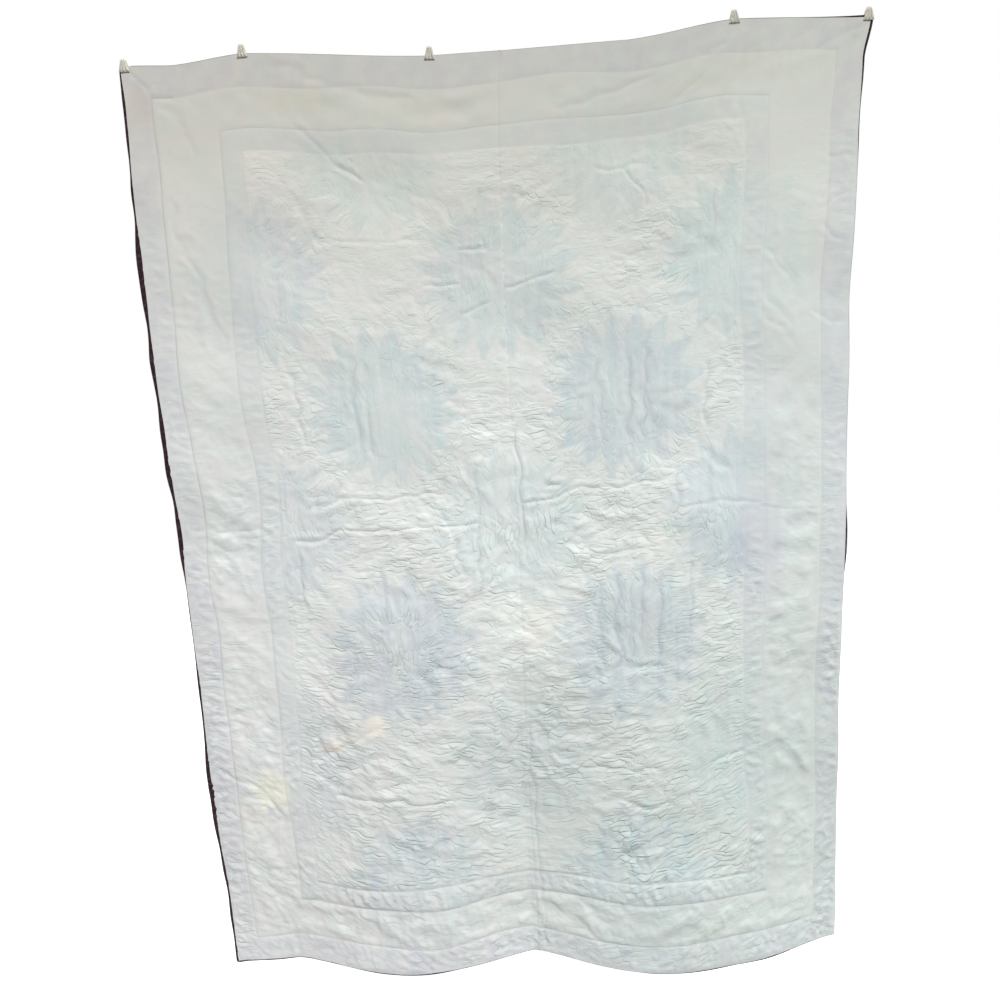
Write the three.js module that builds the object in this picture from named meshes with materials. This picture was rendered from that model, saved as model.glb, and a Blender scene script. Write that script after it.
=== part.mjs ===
// A hand-sewn star quilt, hung by its top edge from five small spring clips, with its back in front.
// Millimetres, +Z up. The back of the quilt faces -Y. The origin is the middle of its top edge.
import * as THREE from "three";

// The flat quilt: star blocks set on their corners, with three borders round them
const BLOCK = 406;
const PITCH = BLOCK * Math.SQRT2;
const BLOCKS_ACROSS = 2;
const BLOCKS_DOWN = 3;
const OUTER_BORDER = 64;
const MIDDLE_BORDER_AT_SIDES = 140;
const MIDDLE_BORDER_AT_ENDS = 95;
const INNER_BORDER = 50;
const SIDE_BORDERS = OUTER_BORDER + MIDDLE_BORDER_AT_SIDES + INNER_BORDER;
const END_BORDERS = OUTER_BORDER + MIDDLE_BORDER_AT_ENDS + INNER_BORDER;
const WIDTH = BLOCKS_ACROSS * PITCH + 2 * SIDE_BORDERS;
const HEIGHT = BLOCKS_DOWN * PITCH + 2 * END_BORDERS;

// The sandwich of front, batting and backing, thin at its stitching and full between
const THICKNESS_AT_STITCHES = 4.4;
const THICKNESS_BETWEEN = 11;
const BORDER_PUFF_REACH = 8;
const STAR_PUFF_REACH = 26;
const STAR_RADIUS = 188;
const STAR_HUB_RADIUS = 62;
const STAR_STITCH_LINES = 8;

// The grid of points that carries the hung shape
const BESIDE_SEAM = 9;
const HALF_BLOCK_CELLS = 7;
const OUTER_BORDER_CELLS = 2;
const INNER_BORDER_CELLS = 2;
const MIDDLE_CELLS_AT_SIDES = 2;
const MIDDLE_CELLS_AT_ENDS = 1;
const SLOPE_STEP = 4;

// The binding round the edge, wider where more of it was turned over to the back
const FIT_GAP = 0.3;
const BINDING_THICKNESS = 4.2;
const BINDING_WIDTH = 3;
const BINDING_WIDTH_AT_LEFT = 8;
const BINDING_CROWN = 0.7;

// The spring clips
const CLIP_HEIGHT = 28;
const CLIP_BITE = 8;
const CLIP_MOUTH_WIDTH = 24;
const CLIP_TOP_WIDTH = 10;
const CLIP_WALL = 1.6;
const CLIP_RIBS = 3;
const CLIP_RIB_HEIGHT = 1.8;
const CLIP_INSIDE = 3.4;
const CLIP_PIN_LENGTH = 8;
const CLIP_PIN_RISE = 14;
const CLIP_PIN_SIDES = 12;
const CLIP_CELLS_PER_RIB = 4;
const CLIP_CELLS_UP = 3;

// How the quilt hangs
const FOLDS_BEGIN = 0.42;
const FOLD_GROWTH = 1.4;
const HEM_SWING = 35;
const FLAT_TOP = 40;
const FLAT_TOP_FADE = 260;
const TOP_EDGE_KEPT_AT_HEM = 0.4;

// The top edge, as shares of the width and the rise of the cloth there, highest at the clips
const TOP_EDGE = [
  { at: 0.0, rise: 7 },
  { at: 0.016, rise: 13 },
  { at: 0.07, rise: 9 },
  { at: 0.165, rise: 26 },
  { at: 0.41, rise: -2 },
  { at: 0.5, rise: 0 },
  { at: 0.68, rise: 7 },
  { at: 0.82, rise: 38 },
  { at: 1.0, rise: 27 },
];

// How far each side edge is drawn in, as shares of the height
const SIDE_EDGES = [
  { down: 0.0, left: -12, right: -12 },
  { down: 0.04, left: -8, right: 8 },
  { down: 0.12, left: -6, right: 21 },
  { down: 0.3, left: 9, right: 43 },
  { down: 0.5, left: 37, right: 57 },
  { down: 0.75, left: 51, right: 81 },
  { down: 1.0, left: 78, right: 91 },
];

// The folds that open towards the hem, as shares of the width
const FOLDS = [
  { from: 0.1, to: 0.5, forward: 88, roundness: 1.3 },
  { from: 0.5, to: 1.0, forward: 129, roundness: 1.2 },
];

// Soft swells and hollows of the hung cloth, as shares of the width and the height
const SWELLS = [
  { across: 0.3, down: 0.3, reachAcross: 0.16, reachDown: 0.12, forward: 14 },
  { across: 0.68, down: 0.27, reachAcross: 0.15, reachDown: 0.14, forward: 12 },
  { across: 0.5, down: 0.44, reachAcross: 0.1, reachDown: 0.2, forward: -10 },
  { across: 0.24, down: 0.6, reachAcross: 0.12, reachDown: 0.14, forward: 15 },
  { across: 0.78, down: 0.52, reachAcross: 0.14, reachDown: 0.12, forward: 13 },
  { across: 0.97, down: 0.38, reachAcross: 0.08, reachDown: 0.16, forward: -12 },
  { across: 0.03, down: 0.34, reachAcross: 0.07, reachDown: 0.2, forward: 12 },
  { across: 0.6, down: 0.68, reachAcross: 0.08, reachDown: 0.1, forward: 10 },
];

// Long uneven ripples, as waves over the whole width and height
const RIPPLES = [
  { across: 3.3, down: 5.2, start: 0.4, depth: 1.8 },
  { across: -4.6, down: 6.9, start: 2.1, depth: 1.5 },
  { across: 7.1, down: 3.4, start: 4.0, depth: 1.0 },
  { across: 2.2, down: -9.3, start: 1.3, depth: 1.2 },
];

// The clips, left to right, each with its own small lean
const CLIPS = [
  { at: 0.0055, lean: -3 },
  { at: 0.165, lean: -3 },
  { at: 0.415, lean: 2 },
  { at: 0.82, lean: -2 },
  { at: 0.996, lean: 3 },
];

const BACKING_COTTON = new THREE.MeshStandardMaterial({ color: 0xd9dcd8, roughness: 0.9, metalness: 0 });
const BINDING_COTTON = new THREE.MeshStandardMaterial({ color: 0x2d1720, roughness: 0.9, metalness: 0 });
const CLIP_NICKEL = new THREE.MeshStandardMaterial({ color: 0xcfccc0, roughness: 0.35, metalness: 1 });

function ease(value) {
  return THREE.MathUtils.smoothstep(value, 0, 1);
}

// A value read from a table's rows, eased from each row to the next
function alongTable(rows, key, column, place) {
  const next = rows.findIndex((row) => row[key] >= place);
  if (next <= 0) {
    return rows[0][column];
  }
  const low = rows[next - 1];
  const high = rows[next];
  const share = (place - low[key]) / (high[key] - low[key]);
  return THREE.MathUtils.lerp(low[column], high[column], (share + ease(share)) / 2);
}

function foldForward(acrossShare, downShare) {
  const growth = Math.max(0, (downShare - FOLDS_BEGIN) / (1 - FOLDS_BEGIN)) ** FOLD_GROWTH;
  let forward = -HEM_SWING;
  for (const fold of FOLDS) {
    const share = THREE.MathUtils.clamp((acrossShare - fold.from) / (fold.to - fold.from), 0, 1);
    forward += fold.forward * Math.max(0, Math.sin(Math.PI * share)) ** fold.roundness;
  }
  return forward * growth;
}

function swellForward(acrossShare, downShare) {
  let forward = 0;
  for (const swell of SWELLS) {
    const sideways = (acrossShare - swell.across) / swell.reachAcross;
    const upright = (downShare - swell.down) / swell.reachDown;
    forward += swell.forward * Math.exp(-(sideways ** 2) - upright ** 2);
  }
  for (const wave of RIPPLES) {
    const turn = 2 * Math.PI * (wave.across * acrossShare + wave.down * downShare);
    forward += wave.depth * Math.sin(turn + wave.start);
  }
  return forward;
}

// The middle of the sandwich, where the point of the flat quilt so far across and down it hangs
function sheetPoint(across, down) {
  const acrossShare = THREE.MathUtils.clamp(across / WIDTH, 0, 1);
  const downShare = THREE.MathUtils.clamp(down / HEIGHT, 0, 1);
  const left = -WIDTH / 2 + alongTable(SIDE_EDGES, "down", "left", downShare);
  const right = WIDTH / 2 - alongTable(SIDE_EDGES, "down", "right", downShare);
  const rise = alongTable(TOP_EDGE, "at", "rise", acrossShare);
  const loose = ease((down - FLAT_TOP) / FLAT_TOP_FADE);
  const forward = foldForward(acrossShare, downShare) + loose * swellForward(acrossShare, downShare);
  const riseKept = THREE.MathUtils.lerp(1, TOP_EDGE_KEPT_AT_HEM, downShare);
  return new THREE.Vector3(THREE.MathUtils.lerp(left, right, acrossShare), -forward, rise * riseKept - down);
}

function sheetAcross(across, down) {
  const from = Math.max(0, across - SLOPE_STEP);
  const to = Math.min(WIDTH, across + SLOPE_STEP);
  return sheetPoint(to, down).sub(sheetPoint(from, down)).normalize();
}

function sheetDown(across, down) {
  const from = Math.max(0, down - SLOPE_STEP);
  const to = Math.min(HEIGHT, down + SLOPE_STEP);
  return sheetPoint(across, to).sub(sheetPoint(across, from)).normalize();
}

// The direction that the back of the quilt faces
function sheetFacing(across, down) {
  return sheetDown(across, down).cross(sheetAcross(across, down)).normalize();
}

// Seams along the borders, measured from the nearer edge
const SIDE_SEAMS = [0, OUTER_BORDER, OUTER_BORDER + MIDDLE_BORDER_AT_SIDES, SIDE_BORDERS];
const END_SEAMS = [0, OUTER_BORDER, OUTER_BORDER + MIDDLE_BORDER_AT_ENDS, END_BORDERS];

function nearestSeam(seams, place, length) {
  const inward = Math.min(place, length - place);
  return Math.min(...seams.map((seam) => Math.abs(inward - seam)));
}

// Distance to the star's own stitching: its hub, its rim, the lines between them and its block's sides
function nearestStarStitch(across, down) {
  const half = PITCH / 2;
  const column = Math.round((across - SIDE_BORDERS) / half);
  const row = Math.round((down - END_BORDERS) / half);
  const sideways = across - SIDE_BORDERS - column * half;
  const upright = down - END_BORDERS - row * half;
  const fromCentre = Math.abs(sideways) + Math.abs(upright);
  const isStarCentre = (column + row) % 2 !== 0;
  if (!isStarCentre) {
    return fromCentre / Math.SQRT2;
  }
  const radius = Math.hypot(sideways, upright);
  const lineAngle = (2 * Math.PI) / STAR_STITCH_LINES;
  const turn = Math.atan2(upright, sideways) / lineAngle;
  const toLine = radius * Math.sin(Math.abs(turn - Math.round(turn)) * lineAngle);
  const isInPoints = radius > STAR_HUB_RADIUS && radius < STAR_RADIUS;
  return Math.min(
    Math.abs(radius - STAR_HUB_RADIUS),
    Math.abs(radius - STAR_RADIUS),
    (half - fromCentre) / Math.SQRT2,
    isInPoints ? toLine : Infinity,
  );
}

function puff(distance, reach) {
  return 1 - Math.exp(-Math.max(0, distance) / reach);
}

function thickness(across, down) {
  const borders = Math.min(nearestSeam(SIDE_SEAMS, across, WIDTH), nearestSeam(END_SEAMS, down, HEIGHT));
  const isField = Math.abs(across - WIDTH / 2) < WIDTH / 2 - SIDE_BORDERS
    && Math.abs(down - HEIGHT / 2) < HEIGHT / 2 - END_BORDERS;
  const stars = isField ? puff(nearestStarStitch(across, down), STAR_PUFF_REACH) : 1;
  const fullness = Math.min(puff(borders, BORDER_PUFF_REACH), stars);
  return THREE.MathUtils.lerp(THICKNESS_AT_STITCHES, THICKNESS_BETWEEN, fullness);
}

// Grid lines across one direction of the quilt, with a line on every border seam and close beside it
function gridLines(spans) {
  const lines = [0];
  for (const { size, cells } of spans) {
    const start = lines[lines.length - 1];
    for (let cell = 1; cell <= cells; cell++) {
      lines.push(start + (size * cell) / cells);
    }
  }
  return lines;
}

function borderedSpans(middleBorder, middleCells, blocks) {
  const borders = [
    { size: OUTER_BORDER - BESIDE_SEAM, cells: OUTER_BORDER_CELLS },
    { size: BESIDE_SEAM, cells: 1 },
    { size: BESIDE_SEAM, cells: 1 },
    { size: middleBorder - 2 * BESIDE_SEAM, cells: middleCells },
    { size: BESIDE_SEAM, cells: 1 },
    { size: INNER_BORDER, cells: INNER_BORDER_CELLS },
  ];
  const field = { size: blocks * PITCH, cells: 2 * blocks * HALF_BLOCK_CELLS };
  return [...borders, field, ...borders.toReversed()];
}

const COLUMNS = gridLines(borderedSpans(MIDDLE_BORDER_AT_SIDES, MIDDLE_CELLS_AT_SIDES, BLOCKS_ACROSS));
const ROWS = gridLines(borderedSpans(MIDDLE_BORDER_AT_ENDS, MIDDLE_CELLS_AT_ENDS, BLOCKS_DOWN));

function quiltGeometry() {
  const columnCells = COLUMNS.length - 1;
  const rowCells = ROWS.length - 1;
  const geometry = new THREE.BoxGeometry(1, 1, 1, columnCells, rowCells, 1);
  const points = geometry.attributes.position;
  for (let i = 0; i < points.count; i++) {
    const across = COLUMNS[Math.round((points.getX(i) + 0.5) * columnCells)];
    const down = ROWS[Math.round((0.5 - points.getY(i)) * rowCells)];
    const half = (Math.sign(points.getZ(i)) * thickness(across, down)) / 2;
    const point = sheetPoint(across, down).addScaledVector(sheetFacing(across, down), half);
    points.setXYZ(i, point.x, point.y, point.z);
  }
  geometry.computeVertexNormals();
  return geometry;
}

// Stations round the edge, anticlockwise as the back is seen, each with its way out of the cloth
function edgeStations() {
  const downwards = ROWS.slice(0, -1).map((down) => ({ across: 0, down }));
  const rightwards = COLUMNS.slice(0, -1).map((across) => ({ across, down: HEIGHT }));
  const upwards = ROWS.slice(1).reverse().map((down) => ({ across: WIDTH, down }));
  const leftwards = COLUMNS.slice(1).reverse().map((across) => ({ across, down: 0 }));
  return [...downwards, ...rightwards, ...upwards, ...leftwards];
}

function outwards(across, down) {
  const way = new THREE.Vector3();
  if (across === 0 || across === WIDTH) {
    way.addScaledVector(sheetAcross(across, down), across === 0 ? -1 : 1);
  }
  if (down === 0 || down === HEIGHT) {
    way.addScaledVector(sheetDown(across, down), down === 0 ? -1 : 1);
  }
  return way;
}

// The binding's section has four corners: outer back, inner back, inner front and outer front
function bindingGeometry() {
  const stations = edgeStations();
  const sectionCorners = 4;
  const geometry = new THREE.TorusGeometry(1, 0.5, sectionCorners, stations.length);
  const points = geometry.attributes.position;
  for (let i = 0; i < points.count; i++) {
    const { across, down } = stations[(i % (stations.length + 1)) % stations.length];
    const corner = Math.floor(i / (stations.length + 1)) % sectionCorners;
    const isOuter = corner === 0 || corner === 3;
    const isBack = corner === 0 || corner === 1;
    const width = across === 0 ? BINDING_WIDTH_AT_LEFT : BINDING_WIDTH;
    const out = isOuter ? FIT_GAP + width : FIT_GAP;
    const half = (BINDING_THICKNESS / 2) * (isOuter ? BINDING_CROWN : 1) * (isBack ? 1 : -1);
    const point = sheetPoint(across, down)
      .addScaledVector(outwards(across, down), out)
      .addScaledVector(sheetFacing(across, down), half);
    points.setXYZ(i, point.x, point.y, point.z);
  }
  geometry.computeVertexNormals();
  return geometry;
}

// A tapered jaw with upright ribs on its outer face, its inner face flat at y = 0
function jawGeometry() {
  const geometry = new THREE.BoxGeometry(1, 1, 1, CLIP_RIBS * CLIP_CELLS_PER_RIB, 1, CLIP_CELLS_UP);
  const points = geometry.attributes.position;
  for (let i = 0; i < points.count; i++) {
    const sideways = points.getX(i);
    const up = points.getZ(i) + 0.5;
    const isOuter = points.getY(i) < 0;
    const rib = 0.5 - 0.5 * Math.cos(2 * Math.PI * CLIP_RIBS * (sideways + 0.5));
    const out = isOuter ? CLIP_WALL + CLIP_RIB_HEIGHT * rib : 0;
    const width = THREE.MathUtils.lerp(CLIP_MOUTH_WIDTH, CLIP_TOP_WIDTH, up);
    points.setXYZ(i, sideways * width, -out, up * CLIP_HEIGHT - CLIP_BITE);
  }
  geometry.computeVertexNormals();
  return geometry;
}

function addMesh(parent, name, geometry, material) {
  const mesh = new THREE.Mesh(geometry, material);
  mesh.name = name;
  parent.add(mesh);
  return mesh;
}

function addClip(parent, number, { at, lean }) {
  const clip = new THREE.Group();
  clip.position.copy(sheetPoint(at * WIDTH, 0));
  clip.rotation.y = THREE.MathUtils.degToRad(lean);
  const front = addMesh(clip, `clip_${number}_front`, jawGeometry(), CLIP_NICKEL);
  front.position.y = -CLIP_INSIDE;
  const back = addMesh(clip, `clip_${number}_back`, jawGeometry(), CLIP_NICKEL);
  back.position.y = CLIP_INSIDE;
  back.rotation.z = Math.PI;
  const pinRadius = CLIP_INSIDE - FIT_GAP;
  const pinShape = new THREE.CylinderGeometry(pinRadius, pinRadius, CLIP_PIN_LENGTH, CLIP_PIN_SIDES);
  const pin = addMesh(clip, `clip_${number}_pin`, pinShape, CLIP_NICKEL);
  pin.rotation.z = Math.PI / 2;
  pin.position.z = CLIP_PIN_RISE;
  parent.add(clip);
}

const starQuilt = new THREE.Group();
addMesh(starQuilt, "quilt", quiltGeometry(), BACKING_COTTON);
addMesh(starQuilt, "binding", bindingGeometry(), BINDING_COTTON);
CLIPS.forEach((clip, index) => addClip(starQuilt, index + 1, clip));

export default starQuilt;
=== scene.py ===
import math

import bpy
import numpy as np
from mathutils import Matrix


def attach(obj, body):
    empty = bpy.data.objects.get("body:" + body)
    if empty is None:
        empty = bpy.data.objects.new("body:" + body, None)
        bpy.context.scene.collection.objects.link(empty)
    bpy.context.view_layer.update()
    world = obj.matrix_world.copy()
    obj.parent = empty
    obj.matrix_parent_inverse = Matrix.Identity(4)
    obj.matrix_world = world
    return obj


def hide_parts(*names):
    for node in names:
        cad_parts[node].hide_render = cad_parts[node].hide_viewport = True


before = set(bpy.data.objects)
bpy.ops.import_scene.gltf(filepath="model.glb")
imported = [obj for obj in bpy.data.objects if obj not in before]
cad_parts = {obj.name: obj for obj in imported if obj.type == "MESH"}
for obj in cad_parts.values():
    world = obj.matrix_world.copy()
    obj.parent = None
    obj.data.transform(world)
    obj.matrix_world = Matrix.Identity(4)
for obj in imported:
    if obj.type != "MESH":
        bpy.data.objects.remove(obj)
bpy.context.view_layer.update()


# The pieced front
# Sixteen-pointed star blocks of thin cotton, set on their corners and framed by three borders.
# It is sewn first, hangs on the far side, and its colours show faintly through the backing.
BLOCK = 0.406
HALF_PITCH = BLOCK * math.sqrt(2) / 2
BLOCKS_ACROSS = 2
BLOCKS_DOWN = 3
OUTER_BORDER = 0.064
MIDDLE_BORDER_AT_SIDES = 0.140
MIDDLE_BORDER_AT_ENDS = 0.095
INNER_BORDER = 0.050
INNER_SEAM_AT_SIDES = OUTER_BORDER + MIDDLE_BORDER_AT_SIDES
INNER_SEAM_AT_ENDS = OUTER_BORDER + MIDDLE_BORDER_AT_ENDS
FIELD_AT_SIDES = INNER_SEAM_AT_SIDES + INNER_BORDER
FIELD_AT_ENDS = INNER_SEAM_AT_ENDS + INNER_BORDER
WIDTH = 2 * (FIELD_AT_SIDES + BLOCKS_ACROSS * HALF_PITCH)
HEIGHT = 2 * (FIELD_AT_ENDS + BLOCKS_DOWN * HALF_PITCH)
STAR_POINTS = 16
STAR_TIP = 0.198
STAR_VALLEY = 0.136
STAR_HUB = 0.045
POINT_HALF_ANGLE = math.pi / STAR_POINTS
SEAM_FRAMES = {
    "at_sides": [OUTER_BORDER, INNER_SEAM_AT_SIDES, FIELD_AT_SIDES],
    "at_ends": [OUTER_BORDER, INNER_SEAM_AT_ENDS, FIELD_AT_ENDS],
    "left": [1.0, 0.6, 0.15],
    "right": [0.3, 0.2, 0.05],
    "top": [0.25, 0.5, 0.1],
    "bottom": [1.2, 1.3, 0.9],
}

# How the quilt hangs, as shares of its width and height with sizes in metres
FOLDS_BEGIN = 0.42
FOLD_GROWTH = 1.4
HEM_SWING = 0.035
FLAT_TOP = 0.040
FLAT_TOP_FADE = 0.260
TOP_EDGE_KEPT_AT_HEM = 0.4
TOP_EDGE = {
    "at": [0, 0.016, 0.07, 0.165, 0.41, 0.5, 0.68, 0.82, 1],
    "rise": [0.007, 0.013, 0.009, 0.026, -0.002, 0, 0.007, 0.038, 0.027],
}
SIDE_EDGES = {
    "at": [0, 0.04, 0.12, 0.3, 0.5, 0.75, 1],
    "left": [-0.012, -0.008, -0.006, 0.009, 0.037, 0.051, 0.078],
    "right": [-0.012, 0.008, 0.021, 0.043, 0.057, 0.081, 0.091],
}
FOLDS = {
    "start": [0.1, 0.5],
    "end": [0.5, 1.0],
    "forward": [0.088, 0.129],
    "roundness": [1.3, 1.2],
}
SWELLS = {
    "across": [0.3, 0.68, 0.5, 0.24, 0.78, 0.97, 0.03, 0.6],
    "down": [0.3, 0.27, 0.44, 0.6, 0.52, 0.38, 0.34, 0.68],
    "reach_across": [0.16, 0.15, 0.1, 0.12, 0.14, 0.08, 0.07, 0.08],
    "reach_down": [0.12, 0.14, 0.2, 0.14, 0.12, 0.16, 0.2, 0.1],
    "forward": [0.014, 0.012, -0.010, 0.015, 0.013, -0.012, 0.012, 0.010],
}
RIPPLES = {
    "across": [3.3, -4.6, 7.1, 2.2],
    "down": [5.2, 6.9, 3.4, -9.3],
    "start": [0.4, 2.1, 4.0, 1.3],
    "depth": [0.0018, 0.0015, 0.0010, 0.0012],
}


def eased(share):
    """From 0 to 1 with a soft start and a soft end."""
    share = np.clip(share, 0, 1)
    return share * share * (3 - 2 * share)


def fading(distance, reach, power=1):
    """One at no distance, falling off on both sides."""
    return np.exp(-((np.abs(distance) / reach) ** power))


def together(*values):
    """Arrays of single values as one array of points."""
    return np.stack(values, axis=-1)


def unit(vectors):
    """The same ways with a length of one."""
    return vectors / np.linalg.norm(vectors, axis=-1, keepdims=True)


def table_rows(table):
    """The rows of a table that is written by columns."""
    return [dict(zip(table, row)) for row in zip(*table.values())]


def table_value(table, column, at):
    """A column between the table's rows, half straight and half eased."""
    places = np.array(table["at"], dtype=float)
    values = np.array(table[column], dtype=float)
    row = np.clip(np.searchsorted(places, at, side="right") - 1, 0, len(places) - 2)
    share = np.clip((at - places[row]) / (places[row + 1] - places[row]), 0, 1)
    return values[row] + (values[row + 1] - values[row]) * (share + eased(share)) / 2


def hung(across, down):
    """Where the middle of the quilt hangs, for places measured on the flat cloth."""
    u = across / WIDTH
    v = down / HEIGHT
    left = -WIDTH / 2 + table_value(SIDE_EDGES, "left", v)
    right = WIDTH / 2 - table_value(SIDE_EDGES, "right", v)
    fold = -HEM_SWING
    for row in table_rows(FOLDS):
        bend = np.sin(np.pi * np.clip((u - row["start"]) / (row["end"] - row["start"]), 0, 1))
        fold = fold + row["forward"] * np.maximum(bend, 0) ** row["roundness"]
    growth = np.clip((v - FOLDS_BEGIN) / (1 - FOLDS_BEGIN), 0, 1) ** FOLD_GROWTH
    swell = 0
    for row in table_rows(SWELLS):
        off_across = (u - row["across"]) / row["reach_across"]
        off_down = (v - row["down"]) / row["reach_down"]
        swell = swell + row["forward"] * np.exp(-off_across**2 - off_down**2)
    for row in table_rows(RIPPLES):
        turn = 2 * np.pi * (row["across"] * u + row["down"] * v) + row["start"]
        swell = swell + row["depth"] * np.sin(turn)
    x = left + (right - left) * u
    y = -fold * growth - swell * eased((down - FLAT_TOP) / FLAT_TOP_FADE)
    z = table_value(TOP_EDGE, "rise", u) * (1 + (TOP_EDGE_KEPT_AT_HEM - 1) * v) - down
    return together(x, y, z)


def grid_facing(points):
    """Unit normals of a grid of points, towards the side that the backing faces."""
    return unit(np.cross(np.gradient(points, axis=0), np.gradient(points, axis=1)))


def flat_lines(size, cells, seams):
    """Even grid lines across the flat cloth, with the nearest ones moved onto the seams."""
    lines = np.linspace(0, size, cells + 1)
    for seam in seams:
        for place in (seam, size - seam):
            lines[np.argmin(np.abs(lines - place))] = place
    return lines


def flat_grid(columns, rows):
    """Places of a grid on the flat cloth, with lines along the border seams."""
    across = flat_lines(WIDTH, columns, SEAM_FRAMES["at_sides"])
    down = flat_lines(HEIGHT, rows, SEAM_FRAMES["at_ends"])
    return np.meshgrid(across, down)


# Thickness, grooves and puckers of the quilt, in metres or as shares of their full strength
SEAM_AT = 0.842
SEWING_WANDER = 0.0035
SEWING_WANDER_SIZE = 0.09
HALF_THICKNESS = 0.0022
LEAST_HALF_THICKNESS = 0.0007
RIM_FADE = 0.010
SEAM_DEPTH = 0.0016
SEAM_REACH = 0.0035
SEAM_FLATTENING = 0.75
SEAM_FLAT_REACH = 0.006
STAR_LINE_DEPTH = 0.0005
STAR_LINE_REACH = 0.005
STAR_LINES_AT_HEM = 0.6
STAR_SIDE_SLANT = 0.85
STAR_EDGE_SOFTNESS = 0.02
STAR_SMOOTHING = 0.25
LOW_FROM = 0.42
LOW_FADE = 0.4
BROAD_RIDGES = {"wave": 0.030, "length": 0.034, "sharpness": 1.5}
BROAD_DEPTH = 0.0009
BROAD_PUFF = 0.7
NARROW_RIDGES = {"wave": 0.018, "length": 0.018, "sharpness": 1.3}
NARROW_DEPTH = 0.0004
NARROW_PUFF = 0.6
RIDGE_SHARE = 0.3
GAP_DEPTH = 0.0005
GAP_REACH = 0.06
SWAGS = {"wave": 0.065, "length": 0.060, "sharpness": 1.0}
SWAG_DEPTH = 0.0005
SWAG_FADE = 0.05
BORDER_FOLDS = {"wave": 0.075, "length": 0.060, "sharpness": 0.7}
BORDER_FOLD_DEPTH = 0.0007
BORDER_FOLD_FADE = 0.03
BORDER_FOLDS_AT_TOP = 0.12
BORDER_FOLDS_FROM = 0.15
BORDER_FOLDS_GROWTH = 0.6
FOLDS_AT_SIDES = 0.9
FOLDS_AT_LOWER_RIGHT = 1.4
FOLDS_AT_ENDS = 2.1
MIDDLE_BORDER_PUFF_LEFT = 1.1
MIDDLE_BORDER_PUFF_RIGHT = 0.8
OTHER_BORDERS_PUFF = 1.4
PATCHINESS = 0.2
PATCH_SIZE = 0.06
PATCH_LIMITS = (0.5, 1.5)
SLACK_SIZE = 0.045
SLACK_DEPTH = 0.0009
CRUMPLES_IN_BORDERS = 0.35
STIPPLING_REACH = 0.05
FAR_FROM_STARS = 9.0
STAR_NUMBERS = (37, 101)
STRENGTH_DOWN = {
    "at": [0, 0.06, 0.15, 0.3, 0.45, 0.5, 0.58, 0.72, 0.85, 1],
    "in_field": [0.22, 0.28, 0.42, 0.52, 0.70, 0.95, 0.92, 1.05, 1.20, 1.05],
    "in_borders": [0.06, 0.08, 0.20, 0.32, 0.52, 0.62, 0.70, 1.00, 1.30, 1.80],
}

# How strongly the ridges are pulled each way; pairs are the pulls at the top and at the hem
ROUND_PULL = (1.1, 0.2)
ROUND_REACH = 0.21
HUB_REACH = 0.11
UPRIGHT_PULL = (1.3, 0.6)
UPRIGHT_REACH = 0.12
PULL_LOST_IN_MIDDLE = 0.8
LEVEL_PULL = (0.3, 1.0)
LEVEL_PULL_IN_BORDERS = 0.4
LEAN_IN_BORDERS = 0.5
SEAM_PULL = 1.2
SEAM_PULL_REACH = 0.03
JOIN_PULL_REACH = 0.06
WAY_WANDER = 0.5
WAY_WANDER_SIZE = 0.025
RIDGE_LEAN = {
    "at": [0, 0.15, 0.3, 0.5, 0.7, 0.85, 1],
    "angle": [1.1, 1.0, 0.35, 0.05, -0.2, -0.7, -0.7],
}


class Puckers:
    """Seeded noise on a grid of cloth, filtered by wave length and by the way its ridges run."""

    PADDING = 64
    DIRECTIONS = 10
    BAND = 0.32
    REACH = 2.4

    def __init__(self, shape, seed):
        self.rows, self.columns = shape
        self.shape = (self.rows + self.PADDING, self.columns + self.PADDING)
        cell = WIDTH / (self.columns - 1)
        self.frequency_down = np.fft.fftfreq(self.shape[0], cell)[:, None]
        self.frequency_across = np.fft.rfftfreq(self.shape[1], cell)[None, :]
        self.random = np.random.default_rng(seed)

    def filtered(self, noise, gain):
        """Noise after a gain on its frequencies, with a spread of one."""
        field = np.fft.irfft2(noise * gain, self.shape)[: self.rows, : self.columns]
        return field / field.std()

    def noise(self):
        return np.fft.rfft2(self.random.standard_normal(self.shape))

    def soft(self, size):
        """Smooth noise with features of about a size."""
        square = self.frequency_across**2 + self.frequency_down**2
        return self.filtered(self.noise(), np.exp(-square * (np.pi * size) ** 2))

    def ridges(self, way, wave, length, sharpness):
        """Ridges along a way that is given as the cosine and sine of its doubled angle."""
        noise = self.noise()
        total = 0
        weights = 0
        for angle in np.arange(self.DIRECTIONS) * np.pi / self.DIRECTIONS:
            along = self.frequency_across * np.cos(angle) + self.frequency_down * np.sin(angle)
            cross = self.frequency_down * np.cos(angle) - self.frequency_across * np.sin(angle)
            off_band = (np.abs(cross) * wave - 1) / self.BAND
            gain = np.exp(-0.5 * off_band**2 - 0.5 * (self.REACH * along * length) ** 2)
            weight = np.exp(sharpness * (way[0] * np.cos(2 * angle) + way[1] * np.sin(2 * angle)))
            total = total + weight * self.filtered(noise, gain)
            weights = weights + weight**2
        return total / np.sqrt(weights)


def puffed(ridges, width):
    """Round puffs with narrow creases where the ridges cross zero, and a share of the ridges."""
    return 1 - np.exp(-np.abs(ridges) / width) + RIDGE_SHARE * ridges


def block_place(across, down):
    """Places counted in blocks, along the two slanting ways that the blocks lie in."""
    column = (across - FIELD_AT_SIDES) / HALF_PITCH
    row = (down - FIELD_AT_ENDS) / HALF_PITCH
    return (column + row) / 2, (column - row) / 2


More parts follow.
